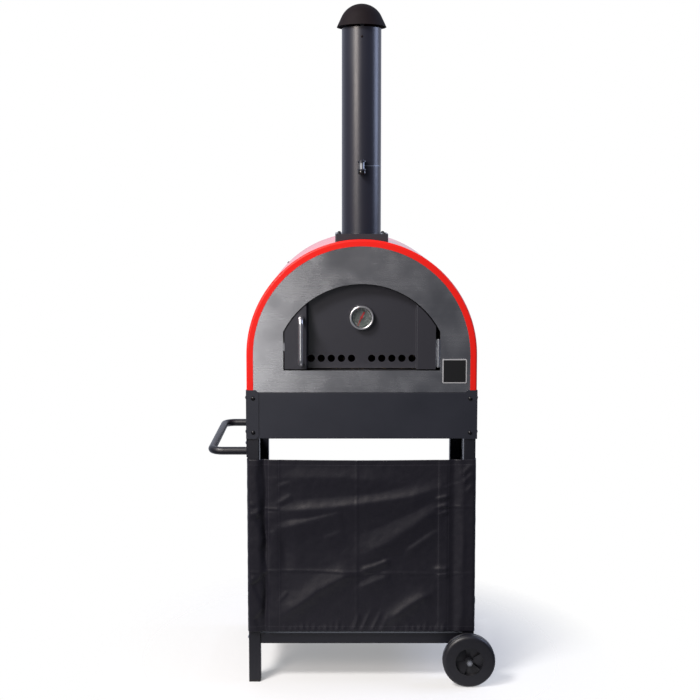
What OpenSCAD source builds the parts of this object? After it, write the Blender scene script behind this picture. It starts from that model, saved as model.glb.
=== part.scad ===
// Wood-fired pizza oven on a wheeled stand, in millimetres.
// X runs to the right, Y to the back and Z up, and the floor is at Z = 0.
// Pieces are placed from the oven's centre plane (X = 0) and the face of its front plate (Y = 0).
// The whole is then set over the middle of its footprint.

/* [Stand] */
// Outside width of the oven shell and of the apron under it
body_w = 580; // [520:1:660]
// Outside depth of the apron box
stand_d = 413; // [360:1:460]
// Height of the apron's top edge, on which the oven stands
stand_h = 753; // [720:1:820]
// Height of the apron panels
apron_h = 119; // [100:1:140]
// Thickness of the apron and bracket sheet
sheet_t = 1.5; // [1:0.1:2]
// Width of the flanges folded inwards along an apron panel
flange_w = 15; // [10:1:20]
// Outside width of a leg tube
leg_s = 30; // [28:1:36]
// Wall of a leg tube
leg_t = 1.5; // [1:0.1:2.5]
// Outside corner radius of a leg tube
leg_r = 3; // [2.6:0.1:4]
// Thickness of a leg plug's sole
plug_sole = 5; // [3:0.5:8]
// Depth of a leg plug inside its tube
plug_depth = 18; // [12:1:22]
// Width of a corner bracket's flanges
bracket_w = 32; // [28:1:40]
// Height of a bracket above the apron's top edge
bracket_rise = 5; // [2:0.5:8]
// Length of the cut across a bracket's corners
bracket_cut = 7; // [3:0.5:10]
// Distance of the bracket screws from the apron's top and bottom edges
bracket_screw_in = 16; // [12:1:25]

/* [Lower shelf] */
// Height of the shelf's top above the floor
shelf_top = 127; // [118:1:131]
// Depth of the lips folded down round the shelf
shelf_lip = 27; // [20:1:32]
// Distance of the shelf's front and back lips from the leg faces
shelf_inset = 5; // [2:0.5:10]

/* [Push handle] */
// Outside diameter of the handle tube
handle_d = 20; // [16:1:24]
// Wall of the handle tube
handle_t = 1.5; // [1:0.1:2.5]
// Reach of the handle from the apron's side
handle_reach = 102; // [80:1:140]
// Gap between the apron and the handle's flanges
handle_gap = 2; // [1:0.5:5]
// Radius of the handle's bends at the centre line
handle_bend = 30; // [24:1:40]
// Depth of the handle's ends inside the legs
handle_in = 14; // [8:1:18]
// Height of a handle flange
handle_plate_h = 46; // [42:1:52]
// Thickness of a handle flange
handle_plate_t = 3; // [2:0.5:4]

/* [Wheels] */
// Outside diameter of a tyre
wheel_d = 134; // [110:1:150]
// Width of a tyre
tyre_w = 32; // [24:1:36]
// Radius of a tyre's shoulders
tyre_shoulder = 9; // [5:0.5:11]
// Outside diameter of a wheel hub's rim
hub_d = 76; // [64:1:84]
// Width of a wheel hub's boss
hub_w = 35; // [33:1:42]
// Diameter of a wheel hub's boss
boss_d = 20; // [16:1:24]
// Thickness of a wheel hub's rim
rim_t = 3; // [2:0.5:4]
// Thickness of a wheel hub's web
web_t = 4; // [3:0.5:6]
// Slanted blades on a wheel hub's face
blade_count = 5; // [5:1:8]
// Slant of the blades in degrees
blade_slant = 13; // [8:1:16]
// Diameter of the axle
axle_d = 10; // [8:0.5:12]
// Diameter of the axle's threaded ends
axle_end_d = 8; // [5:0.5:8]
// Width of a spacer between a leg and its wheel
spacer_w = 6; // [3:0.5:10]
// Width across the flats of an axle nut
nut_af = 13; // [12:1:17]
// Thickness of an axle nut
nut_t = 7; // [5:0.5:9]
// Length of the right legs below the axle
leg_below_axle = 27; // [20:1:32]

/* [Fabric cover] */
// Height of the cover's lower edge above the floor
cover_z = 133; // [133:1:145]
// Gap between the cover's top and the handle's flanges
cover_gap = 4; // [2:0.5:20]
// Thickness of the cover with its lining
cover_t = 2.4; // [2:0.1:3]
// Height of the cover's main folds
fold_h = 7; // [3:0.5:9]
// Half width of the cover's main folds
fold_w = 24; // [18:1:30]
// How far the cover sags in between its legs
cover_sag = 3; // [0:0.5:5]

/* [Oven shell] */
// Height of the shell's straight sides, up to the spring of its arch
side_h = 94; // [85:1:120]
// Depth of the shell
shell_d = 510; // [485:1:560]
// Thickness of the shell sheet
shell_t = 1.2; // [1:0.1:1.6]
// Width of the band turned in round the shell's front
band_w = 17; // [12:1:24]
// Radius of the band's rolled edge
band_r = 5; // [3:0.5:7]
// Thickness of the front plate
plate_t = 1.5; // [1:0.1:2]
// Thickness of the base pan and the back panel
pan_t = 1.5; // [1:0.1:2]
// Height of the flanges turned up along the base pan
pan_flange = 30; // [20:1:40]
// Length of the rim turned in round the back panel
back_rim = 16; // [12:1:20]

/* [Baking chamber] */
// Thickness of the insulation round the chamber
insulation_t = 45; // [38:1:55]
// Thickness of the chamber sheet
chamber_t = 1.2; // [1:0.1:1.6]
// Distance of the chamber's front wall from the front plate's face
chamber_y = 30; // [28:1:36]
// Distance of the chamber's back wall from the back panel
chamber_back = 24; // [20:1:40]
// Thickness of the insulating board under the stones
board_t = 35; // [28:1:36]
// Thickness of the baking stones
stone_t = 16; // [12:1:17]

/* [Oven mouth] */
// Width of the front plate beside the mouth, with the shell's edge
mouth_in = 93; // [90:1:105]
// Height of the mouth's sill above the base pan's underside
sill_h = 55; // [55:1:60]
// Height of the mouth's straight sides
mouth_side = 98; // [90:1:110]
// Rise of the arch over the mouth's sides
mouth_rise = 120; // [100:1:130]
// Thickness of the jamb round the mouth
jamb_t = 1.5; // [1:0.1:2]
// Length of the jamb behind the front plate
jamb_l = 38; // [34:1:42]

/* [Door] */
// Gap round the door
door_gap = 3; // [2:0.5:4]
// Thickness of the door sheet
door_t = 1.5; // [1:0.1:2]
// Width of the door's wing at each side of its set-back middle
wing_w = 55; // [50:1:60]
// Depth of the door's set-back middle
door_setback = 22; // [16:1:24]
// Diameter of an air hole
air_d = 18.5; // [12:0.5:19]
// Air holes on each side
air_count = 5; // [3:1:5]
// Distance of the last air hole's centre from the edge of the set-back middle
air_edge = 11.5; // [11:0.5:18]
// Height of the air holes above the door's lower edge
air_z = 25; // [16:1:32]
// Diameter of the handle bar
bar_d = 12; // [10:0.5:14]
// Length of the handle bar over its bends
bar_l = 126; // [100:1:130]
// Distance of the bar's centre line from the door
bar_off = 28; // [24:1:36]
// Radius of the bar's bends at the centre line
bar_bend = 13; // [10:0.5:16]
// Distance of the bar from the edge of the set-back middle
bar_in = 13; // [8:1:20]
// Height of the bar's lower end above the door's lower edge
bar_z = 9; // [8:1:14]

/* [Door hinge] */
// Outside diameter of a hinge knuckle
knuckle_d = 9; // [8.6:0.2:10]
// Diameter of the hinge pin
pin_d = 5; // [4:0.1:5.6]
// Height of the hinge
hinge_h = 69; // [50:1:80]
// Height of the hinge's foot above the sill
hinge_z = 9; // [6:1:14]
// Thickness of a hinge leaf
leaf_t = 1.5; // [1:0.1:1.7]
// Length of a hinge leaf
leaf_l = 24; // [18:1:28]

/* [Thermometer] */
// Diameter of the bezel
bezel_d = 61; // [50:1:70]
// Width of the bezel ring
bezel_w = 5.5; // [5:0.1:7]
// Depth of the thermometer's case with its bezel
case_depth = 13.5; // [13:0.5:18]
// Height of the thermometer's centre above the door's lower edge
dial_z = 129; // [110:1:140]
// Diameter of the stem
stem_d = 8; // [6:0.5:10]
// Length of the stem behind the case
stem_l = 62; // [50:1:70]
// Gap from the needle's pointing end to the dial's rim
needle_in = 4.2; // [3:0.1:9]
// Length of the needle's tail
needle_tail = 15; // [8:0.5:16]
// Direction of the resting needle in degrees clockwise from the top
needle_rest = 205; // [200:1:230]

/* [Badge] */
// Width of the bare badge plate
badge_w = 61; // [50:1:64]
// Thickness of the badge plate
badge_t = 1.2; // [0.8:0.1:2]
// Width of the badge's raised border
badge_rim = 2.5; // [1:0.1:4]
// Distance of the badge's centre from the shell's side
badge_in = 56.5; // [52:0.5:58]
// Height of the badge's centre above the oven's foot
badge_z = 53.5; // [48:0.5:60]

/* [Flue] */
// Outside diameter of the flue pipe
flue_d = 100; // [90:1:120]
// Wall of the flue pipe
flue_t = 1; // [0.8:0.1:1.5]
// Length of the flue pipe
flue_l = 515; // [450:1:600]
// Distance of the flue's axis from the front plate's face
flue_y = 90; // [85:1:110]
// Width of the square collar
collar_w = 133; // [130:1:150]
// Height of the collar above the shell's top
collar_h = 13; // [8:1:20]
// Thickness of the collar sheet
collar_t = 1.5; // [1:0.1:2]
// Length of the collar's spigot inside the pipe
spigot_up = 40; // [25:1:60]
// Distance of the collar's screws from its edges
collar_screw_in = 10; // [8:1:12]

/* [Damper] */
// Height of the damper plate above the collar
gate_h = 170.5; // [120:0.5:220]
// Thickness of the damper plate
gate_t = 1.5; // [1:0.1:2]
// Distance of the damper's pivot from the pipe
gate_pivot = 10; // [9:0.5:14]
// Diameter of the pivot
pivot_d = 6; // [5:0.5:7]
// Diameter of the barrel on the damper plate
barrel_d = 13; // [11:0.5:15]
// Height of the barrel between the lugs
barrel_h = 17; // [12:0.5:24]
// Width of the lugs that hold the pivot
lug_w = 21; // [18:0.5:26]
// Thickness of a lug
lug_t = 3.5; // [2:0.5:5]
// Diameter of the damper's knob
knob_d = 20; // [16:0.5:24]
// Height of the damper's knob
knob_h = 9; // [6:0.5:14]

/* [Rain cap] */
// Radius of the cap's dome
dome_r = 56; // [53:0.5:66]
// Slant of the cap's skirt in degrees from upright
skirt_slant = 25; // [18:1:32]
// Height of the cap's skirt
skirt_h = 25.7; // [18:0.1:32]
// Thickness of the cap sheet
cap_t = 1.2; // [0.8:0.1:1.6]
// Height of the cap's rim above the pipe's top
cap_gap = 4; // [2:0.5:10]
// Width of a cap strap
strap_w = 10; // [6:0.5:14]
// Thickness of a cap strap
strap_t = 1.5; // [1:0.1:2]
// Length of a cap strap inside the pipe
strap_in = 35; // [30:1:50]

/* [Fits] */
// Gap between pieces that fit together loosely
fit = 0.3; // [0.2:0.05:0.4]
// Radial gap of a turning fit
run_gap = 0.05; // [0.02:0.01:0.1]
// Diameter of a stand screw's shank
screw_d = 5.8; // [5:0.1:6]
// Diameter of a stand screw's head
screw_head_d = 11; // [9:0.5:12]
// Height of a stand screw's head
screw_head_h = 3.3; // [2:0.1:4]

/* [Hidden] */
$fn = 64;

// Room for cuts that run past a face
past = 1;
black = [0.16, 0.155, 0.18];
zinc = [0.75, 0.76, 0.78];
stainless = [0.56, 0.57, 0.58];
red = [0.93, 0.07, 0.06];

// Legs
leg_x = body_w / 2 - sheet_t - leg_s / 2;
leg_front_y = sheet_t + leg_s / 2;
leg_rear_y = stand_d - sheet_t - leg_s / 2;
axle_z = wheel_d / 2;
function leg_y(sy) = sy < 0 ? leg_front_y : leg_rear_y;
function leg_foot(sx) = sx < 0 ? plug_sole : axle_z - leg_below_axle;

// Apron, brackets and their screws
apron_z = stand_h - apron_h;
bracket_screw_z = [apron_z + bracket_screw_in, stand_h - bracket_screw_in];
screw_l = 8;
hole_d = screw_d + 2 * fit;
shelf_screw_z = shelf_top - shelf_lip / 2;

// Push handle
handle_x = -body_w / 2 - handle_reach + handle_d / 2;
handle_plate_z = apron_z - handle_gap - handle_plate_h;
handle_z = handle_plate_z + handle_d / 2 + 4;
handle_screw_z = (handle_z + handle_d / 2 + handle_plate_z + handle_plate_h) / 2;

// Fabric cover
cover_top = handle_plate_z - cover_gap;
cover_h = cover_top - cover_z;

// Wheels, measured outwards from a leg's face
wheel_in = spacer_w + fit / 2;
nut_in = wheel_in + hub_w + fit / 2;
axle_reach = nut_in + nut_t;

// Oven body
arch_z = stand_h + side_h;
shell_r = body_w / 2;
shell_foot = stand_h + bracket_rise + fit;
pan_r = shell_r - shell_t - fit;
blanket_r = pan_r - pan_t - fit;
chamber_r = blanket_r - insulation_t - fit;
chamber_end = shell_d - chamber_back;
board_top = stand_h + pan_t + board_t;

// Oven mouth
sill_z = stand_h + sill_h;
mouth_w = body_w - 2 * mouth_in;
mouth_r = (pow(mouth_w / 2, 2) + pow(mouth_rise, 2)) / (2 * mouth_rise);
mouth_arch_z = sill_z + mouth_side + mouth_rise - mouth_r;

// Door and hinge
knuckle_r = knuckle_d / 2;
hinge_x = mouth_w / 2 - knuckle_r;
hinge_foot = sill_z + hinge_z;
knuckle_h = hinge_h / 4;
wing_y = knuckle_r - leaf_t - door_t;
door_mid_y = wing_y + door_setback;
door_mid_w = mouth_w - 2 * (door_gap + wing_w);
air_pitch = (door_mid_w / 2 - air_edge) / air_count;
door_foot = sill_z + door_gap;
door_left = -mouth_w / 2 + door_gap;
door_right = hinge_x - knuckle_r - 2;
bar_x = -door_mid_w / 2 - bar_in;
bar_foot = door_foot + bar_z;
bar_screw_d = 4;
door_fold = door_t + 1;

// Badge
badge_x = body_w / 2 - badge_in;

// Thermometer, measured from the door's face towards the viewer
therm_z = door_foot + dial_z;
case_r = bezel_d / 2 - 2.5;
case_wall = 1.5;
case_floor = 1.2;
lens_t = 1.5;
dial_t = 1;
bezel_h = 5;
needle_shaft_d = 2;
needle_w = 3.2;
stem_nut_h = 5;
lens_top = case_depth - bezel_h;
dial_r = case_r - case_wall - fit;
needle_tip = dial_r - needle_in;

// Flue
flue_r = flue_d / 2;
flue_foot = arch_z + shell_r + collar_h;
flue_top = flue_foot + flue_l;
spigot_r = flue_r - flue_t - fit;
spigot_foot = arch_z + chamber_r - 6;
flue_hole_r = spigot_r + fit;
collar_screw = collar_w / 2 - collar_screw_in;
collar_screw_d = 5;
collar_screw_l = flue_foot - arch_z - sqrt(pow(shell_r, 2) - pow(collar_screw, 2)) + 1.2 * shell_t;
gate_z = flue_foot + gate_h;
gate_slot = gate_t + 2 * fit;
pivot_y = flue_y - flue_r - gate_pivot;
gate_in_r = flue_r - flue_t - 2 * fit;
gate_out_r = flue_r + fit;
ear_w = 14;
lug_low = gate_z - barrel_h / 2 - fit / 2;
lug_high = gate_z + barrel_h / 2 + fit / 2;

// Rain cap
rim_z = flue_top + cap_gap;
skirt_top = rim_z + skirt_h;
dome_z = skirt_top - dome_r * sin(skirt_slant);
rim_r = dome_r * cos(skirt_slant) + skirt_h * tan(skirt_slant);
strap_r = sqrt(pow(flue_r - flue_t - fit, 2) - pow(strap_w / 2, 2)) - strap_t;
strap_top = dome_z + sqrt(pow(dome_r - cap_t - fit, 2) - pow(norm([strap_r + strap_t, strap_w / 2]), 2));
rivet_z = flue_top - strap_in + 10;
rivet_d = 3.2;

// Footprint
front_y = sheet_t - axle_reach;
footprint_x = (-body_w / 2 - handle_reach + leg_x + wheel_d / 2) / 2;
footprint_y = (front_y + shell_d) / 2;

module at_frame() translate([-footprint_x, -footprint_y, 0]) children();

// A rectangle with round corners
module round_rect(w, h, r) {
    square([w - 2 * r, h], center = true);
    square([w, h - 2 * r], center = true);
    for (x = [-1, 1], y = [-1, 1])
        translate([x * (w / 2 - r), y * (h / 2 - r)]) circle(r);
}

// A flat outline in X and Z, given a depth from one Y to another
module between_y(y0, y1) translate([0, y1, 0]) rotate([90, 0, 0]) linear_extrude(y1 - y0) children();

// Section of folded sheet: a quarter ring about the origin, from +X round to +Y
module fold_section(r, t) intersection() {
    difference() {
        circle(r);
        circle(r - t);
    }
    square(r);
}

// A hole or rod along X, or along Y
module rod_x(d, x0, x1) translate([x0, 0, 0]) rotate([0, 90, 0]) cylinder(d = d, h = x1 - x0);
module rod_y(d, y0, y1) translate([0, y1, 0]) rotate([90, 0, 0]) cylinder(d = d, h = y1 - y0);

// Button-head screw: its head stands on Z = 0 and its shank runs down
module button_screw(d, length, head_d, head_h) {
    difference() {
        rotate_extrude() intersection() {
            dome = (pow(head_d / 2, 2) + pow(head_h, 2)) / (2 * head_h);
            translate([0, head_h - dome]) circle(dome);
            square([head_d / 2, head_h]);
        }
        translate([0, 0, head_h * 0.45]) cylinder(d = d * 0.62, h = head_h, $fn = 6);
    }
    translate([0, 0, -length]) cylinder(d = d, h = length);
}
module stand_screw(length) button_screw(screw_d, length, screw_head_d, screw_head_h);

// Children are drawn about a leg's axis, with +X and +Y pointing out of the stand
module at_corner(sx, sy)
    translate([sx * leg_x, leg_y(sy), 0])
        mirror([sx < 0 ? 1 : 0, 0, 0])
            mirror([0, sy < 0 ? 1 : 0, 0]) children();

module leg_section(inset) round_rect(leg_s - 2 * inset, leg_s - 2 * inset, leg_r - inset);

module leg(sx, sy) {
    foot = leg_foot(sx);
    color(black) at_corner(sx, sy) difference() {
        translate([0, 0, foot]) linear_extrude(stand_h - foot) difference() {
            leg_section(0);
            leg_section(leg_t);
        }
        for (z = bracket_screw_z) translate([0, 0, z]) {
            rod_x(hole_d, 0, leg_s);
            rod_y(hole_d, 0, leg_s);
        }
        translate([0, 0, shelf_screw_z]) rod_x(hole_d, -leg_s, leg_s);
        if (sx < 0) {
            translate([0, 0, handle_z]) rod_x(handle_d + 2 * fit, 0, leg_s);
            translate([0, 0, handle_screw_z]) rod_x(hole_d, 0, leg_s);
        }
        if (sx > 0) translate([0, 0, axle_z]) rod_y(axle_d + 2 * run_gap, -leg_s, leg_s);
    }
}

module leg_plugs() color([0.1, 0.1, 0.11])
    for (sx = [-1, 1], sy = [-1, 1])
        at_corner(sx, sy) translate([0, 0, leg_foot(sx) - plug_sole]) {
            linear_extrude(plug_sole) leg_section(0);
            linear_extrude(plug_sole + plug_depth) leg_section(leg_t + fit);
        }

// The shelf is a pan with its lips folded down, screwed between the legs
module lower_shelf() {
    half = leg_x - leg_s / 2 - fit;
    y0 = sheet_t + shelf_inset;
    y1 = stand_d - sheet_t - shelf_inset;
    color(black) difference() {
        translate([-half, y0, shelf_top - shelf_lip]) cube([2 * half, y1 - y0, shelf_lip]);
        translate([-half + sheet_t, y0 + sheet_t, shelf_top - shelf_lip - past])
            cube([2 * (half - sheet_t), y1 - y0 - 2 * sheet_t, shelf_lip - sheet_t + past]);
        for (sx = [-1, 1], sy = [-1, 1])
            at_corner(sx, sy) translate([0, 0, shelf_screw_z]) rod_x(hole_d, -leg_s, 0);
    }
}

module shelf_screws() color(zinc)
    for (sx = [-1, 1], sy = [-1, 1])
        at_corner(sx, sy) translate([leg_s / 2, 0, shelf_screw_z])
            rotate([0, 90, 0]) stand_screw(leg_s + sheet_t + screw_l);

// An apron panel as a folded channel in Y and Z: its outer face on Y = 0 and its flanges behind.
// Its flanges are shorter than its face, which runs on in front of the legs.
module apron_panel(length, flange_l) {
    r = sheet_t + 1;
    rotate([90, 0, 90]) translate([0, 0, -flange_l / 2]) linear_extrude(flange_l) {
        translate([0, apron_z + r]) square([sheet_t, apron_h - 2 * r]);
        for (z = [apron_z, stand_h - sheet_t]) translate([r, z]) square([sheet_t + flange_w - r, sheet_t]);
        translate([r, apron_z + r]) rotate(180) fold_section(r, sheet_t);
        translate([r, stand_h - r]) rotate(90) fold_section(r, sheet_t);
    }
    for (sx = [0, 1]) mirror([sx, 0, 0]) translate([flange_l / 2 - past, 0, apron_z])
        cube([(length - flange_l) / 2 + past, sheet_t, apron_h]);
}

module apron_front() color(black) difference() {
    apron_panel(body_w, 2 * (leg_x - leg_s / 2 - fit));
    bracket_holes();
}

module apron_rear() color(black) difference() {
    translate([0, stand_d, 0]) rotate(180) apron_panel(body_w, 2 * (leg_x - leg_s / 2 - fit));
    bracket_holes();
}

module apron_side(sx) color(black) difference() {
    translate([sx * body_w / 2, stand_d / 2, 0]) rotate(sx * 90)
        apron_panel(stand_d - 2 * sheet_t, leg_rear_y - leg_front_y - leg_s - 2 * fit);
    bracket_holes();
}

// Holes for the bracket screws through panels and brackets
module bracket_holes()
    for (sx = [-1, 1], sy = [-1, 1], z = bracket_screw_z)
        at_corner(sx, sy) translate([0, 0, z]) {
            rod_x(hole_d, 0, leg_s);
            rod_y(hole_d, 0, leg_s);
        }

// One flange of a corner bracket, with its free corners cut off
module bracket_flange(rise) {
    h = apron_h + rise;
    polygon([
        [0, 0], [bracket_w - bracket_cut, 0], [bracket_w, bracket_cut],
        [bracket_w, h - bracket_cut], [bracket_w - bracket_cut, h], [0, h]
    ]);
}

// The side flange and the front one stand above the apron and locate the oven's foot.
// At the rear the oven passes over the bracket, so that flange ends at the apron's top.
module bracket(sx, sy) {
    out = leg_s / 2 + 2 * sheet_t;
    color(black) difference() {
        at_corner(sx, sy) translate([0, 0, apron_z]) {
            translate([out, out - sheet_t, 0]) rotate([90, 0, 180])
                linear_extrude(sheet_t) bracket_flange(sy < 0 ? bracket_rise : 0);
            translate([out, out, 0]) rotate([90, 0, -90])
                linear_extrude(sheet_t) bracket_flange(bracket_rise);
        }
        bracket_holes();
    }
}

module bracket_screws() color(black)
    for (sx = [-1, 1], sy = [-1, 1], z = bracket_screw_z)
        at_corner(sx, sy) translate([0, 0, z]) {
            face = leg_s / 2 + 2 * sheet_t;
            translate([face, 0, 0]) rotate([0, 90, 0]) stand_screw(screw_l);
            translate([0, face, 0]) rotate([-90, 0, 0]) stand_screw(screw_l);
        }

// A quarter bend of tube in the XY plane, from +X round to +Y
module tube_bend(radius, d, wall) rotate_extrude(angle = 90) translate([radius, 0]) difference() {
    circle(d = d);
    if (wall > 0) circle(d = d - 2 * wall);
}

module tube_x(d, wall, x0, x1) difference() {
    rod_x(d, x0, x1);
    rod_x(d - 2 * wall, x0 - past, x1 + past);
}

module push_handle() {
    end_x = -leg_x - leg_s / 2 + handle_in;
    bend_x = handle_x + handle_bend;
    face_x = -leg_x - leg_s / 2;
    color(black) {
        translate([0, 0, handle_z]) {
            for (y = [leg_front_y, leg_rear_y])
                translate([0, y, 0]) tube_x(handle_d, handle_t, bend_x, end_x);
            translate([handle_x, 0, 0]) rotate(90)
                tube_x(handle_d, handle_t, leg_front_y + handle_bend, leg_rear_y - handle_bend);
            translate([bend_x, leg_front_y + handle_bend, 0]) rotate(180)
                tube_bend(handle_bend, handle_d, handle_t);
            translate([bend_x, leg_rear_y - handle_bend, 0]) rotate(90)
                tube_bend(handle_bend, handle_d, handle_t);
        }
        for (y = [leg_front_y, leg_rear_y]) difference() {
            translate([face_x - handle_plate_t, y - leg_s / 2 + leg_r, handle_plate_z])
                cube([handle_plate_t, leg_s - 2 * leg_r, handle_plate_h]);
            translate([face_x, y, handle_screw_z]) rod_x(hole_d, -leg_s, leg_s);
            translate([face_x, y, handle_z]) rod_x(handle_d - 2 * handle_t, -leg_s, leg_s);
        }
    }
}

module push_handle_screws() color(zinc)
    for (y = [leg_front_y, leg_rear_y])
        translate([-leg_x - leg_s / 2 - handle_plate_t, y, handle_screw_z])
            rotate([0, -90, 0]) stand_screw(screw_l);

// Main folds on the cover's front: from X, Z to X, Z
cover_folds = [
    [[-205, 447], [196, 510]], [[-205, 400], [-25, 460]], [[-5, 332], [220, 460]],
    [[-207, 165], [77, 322]], [[67, 150], [178, 233]]
];

// Distance of a point from a line between two others
function from_line(p, a, b) =
    let (along = min(1, max(0, (p - a) * (b - a) / ((b - a) * (b - a)))))
    norm(p - a - along * (b - a));

// Height of the front's cloth above its flat: folds between the legs, sagging in where it is slack
function cover_lift(x, z) =
    let (
        free = leg_x - leg_s / 2,
        ends = pow(max(0, 1 - pow(x / free, 2)), 0.5),
        up = (z - cover_z) / cover_h,
        sag = cover_sag * 4 * up * (1 - up) * ends,
        folds = [for (f = cover_folds) exp(-pow(from_line([x, z], f[0], f[1]) / fold_w, 2))]
    )
    ends * fold_h * max(folds) - sag;

// The cover is one band of cloth round the front and the sides, turned in behind the rear legs
module fabric_cover() {
    rows = 14;
    front_cols = 26;
    side_cols = 6;
    hx = leg_x + leg_s / 2 + fit;
    y0 = sheet_t - fit;
    y1 = stand_d - sheet_t + fit;
    // Each stop along the band has its place and the way out of the cover there
    stops = concat(
        [[[-hx + leg_s, y1], [0, 1]], [[-hx + leg_s / 2, y1], [0, 1]]],
        [for (i = [0:side_cols - 1])
            [[-hx, y1 - (y1 - y0) * i / side_cols], i == 0 ? [-1, 1] : [-1, 0]]],
        [for (i = [0:front_cols - 1])
            [[-hx + 2 * hx * i / front_cols, y0], i == 0 ? [-1, -1] : [0, -1]]],
        [for (i = [0:side_cols - 1])
            [[hx, y0 + (y1 - y0) * i / side_cols], i == 0 ? [1, -1] : [1, 0]]],
        [[[hx, y1], [1, 1]], [[hx - leg_s / 2, y1], [0, 1]], [[hx - leg_s, y1], [0, 1]]]
    );
    cols = len(stops);
    function lift(i, z) = stops[i][1] == [0, -1] ? cover_lift(stops[i][0][0], z) : 0;
    function stop_point(i, z, out) =
        let (p = stops[i][0] + stops[i][1] * (out + lift(i, z)))
        [p[0], p[1], z];
    // Rows run up the inside and down the outside, and close on themselves
    loop = concat(
        [for (j = [0:rows - 1]) [cover_z + cover_h * j / (rows - 1), 0]],
        [for (j = [rows - 1:-1:0]) [cover_z + cover_h * j / (rows - 1), cover_t]]
    );
    last = 2 * rows - 1;
    points = [for (row = loop, i = [0:cols - 1]) stop_point(i, row[0], row[1])];
    walls = [
        for (j = [0:last], i = [0:cols - 2])
            let (k = (j + 1) % (last + 1), a = j * cols + i, d = k * cols + i)
            each [[a, a + 1, d + 1], [a, d + 1, d]]
    ];
    // The band's two ends, closed from the inside face to the outside one
    ends = [
        for (j = [0:rows - 2])
            let (a = j * cols, b = a + cols, c = (last - j - 1) * cols, d = c + cols, e = cols - 1)
            each [[a, b, c], [a, c, d], [b + e, a + e, c + e], [c + e, a + e, d + e]]
    ];
    color([0.11, 0.105, 0.12]) polyhedron(points, concat(walls, ends));
}

// Children are drawn with Z along the axle, away from a leg's outer face
module at_wheel(sy)
    translate([leg_x, leg_y(sy) + sy * leg_s / 2, axle_z]) rotate([-90 * sy, 0, 0]) children();

module wheel_axle() color(zinc) translate([leg_x, 0, axle_z]) {
    front = sheet_t;
    rear = stand_d - sheet_t;
    rod_y(axle_d, front - nut_in, rear + nut_in);
    rod_y(axle_end_d, front - axle_reach, rear + axle_reach);
}

module axle_spacers() color(zinc)
    for (sy = [-1, 1]) at_wheel(sy) difference() {
        cylinder(d = boss_d - 2, h = spacer_w);
        translate([0, 0, -past]) cylinder(d = axle_d + 2 * fit, h = spacer_w + 2 * past);
    }

module axle_nuts() color(zinc)
    for (sy = [-1, 1]) at_wheel(sy) translate([0, 0, nut_in]) difference() {
        cylinder(d = nut_af / cos(30), h = nut_t, $fn = 6);
        translate([0, 0, -past]) cylinder(d = axle_end_d + 2 * run_gap, h = nut_t + 2 * past);
    }

// One slanted blade of a hub's face, in its own share of the circle and a little short of the next
module hub_blade(r0, r1, foot, low) {
    share = 360 / blade_count;
    part = [for (a = [1, share / 2, share - 1]) 2 * r1 * [cos(a), sin(a)]];
    intersection() {
        translate([0, 0, foot]) difference() {
            cylinder(r = r1, h = hub_w);
            translate([0, 0, -past]) cylinder(r = r0, h = hub_w + 2 * past);
        }
        linear_extrude(2 * hub_w) polygon(concat([[0, 0]], part));
        translate([0, 0, low]) rotate([blade_slant, 0, 0]) translate([-hub_d, -hub_d, -hub_d])
            cube([2 * hub_d, 2 * hub_d, hub_d]);
    }
}

module wheel_hub(sy) {
    rim_r0 = hub_d / 2 - rim_t;
    web_z = (hub_w - web_t) / 2;
    color([0.13, 0.13, 0.14]) at_wheel(sy) translate([0, 0, wheel_in]) difference() {
        union() {
            cylinder(d = boss_d, h = hub_w);
            translate([0, 0, web_z]) cylinder(r = rim_r0 + rim_t / 2, h = web_t);
            translate([0, 0, (hub_w - tyre_w) / 2]) difference() {
                cylinder(d = hub_d, h = tyre_w);
                translate([0, 0, -past]) cylinder(r = rim_r0, h = tyre_w + 2 * past);
            }
            for (i = [0:blade_count - 1]) rotate((i + 0.5) * 360 / blade_count)
                hub_blade(boss_d / 2 - past, rim_r0 + rim_t / 3, web_z + web_t / 2, web_z + web_t + 0.5);
        }
        translate([0, 0, -past]) cylinder(d = axle_d + 2 * run_gap, h = hub_w + 2 * past);
    }
}

module tyre(sy) {
    r0 = hub_d / 2 + run_gap;
    r1 = wheel_d / 2;
    groove_r = 1.6;
    color([0.1, 0.1, 0.11]) at_wheel(sy) translate([0, 0, wheel_in + hub_w / 2])
        rotate_extrude($fn = 96) difference() {
            union() {
                translate([(r0 + r1) / 2, 0]) round_rect(r1 - r0, tyre_w, tyre_shoulder);
                translate([r0, -tyre_w / 2]) square([tyre_shoulder, tyre_w]);
            }
            for (z = [-tyre_w / 4, tyre_w / 4]) translate([r1, z]) circle(groove_r);
        }
}

// Half-round arch with straight sides down to a foot, in X and Z
module arch(r, foot) {
    translate([0, arch_z]) intersection() {
        circle(r);
        translate([-r, 0]) square([2 * r, r]);
    }
    translate([-r, foot]) square([2 * r, arch_z - foot]);
}

// Outline of the mouth in X and Z, moved out by a margin
module mouth(margin) {
    top = mouth_arch_z + mouth_r + margin;
    intersection() {
        translate([0, mouth_arch_z]) circle(mouth_r + margin, $fn = 128);
        translate([-mouth_w / 2 - margin, sill_z - margin])
            square([mouth_w + 2 * margin, top - sill_z + margin]);
    }
}

// Hole for the flue through the roof
module flue_bore() translate([0, flue_y, arch_z]) cylinder(r = flue_hole_r, h = 2 * shell_r);

module oven_base() color(black) difference() {
    y0 = plate_t + fit;
    d = shell_d - pan_t - fit - y0;
    translate([-pan_r, y0, stand_h]) cube([2 * pan_r, d, pan_flange]);
    translate([-pan_r + pan_t, y0 - past, stand_h + pan_t])
        cube([2 * (pan_r - pan_t), d + 2 * past, pan_flange]);
}

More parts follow.
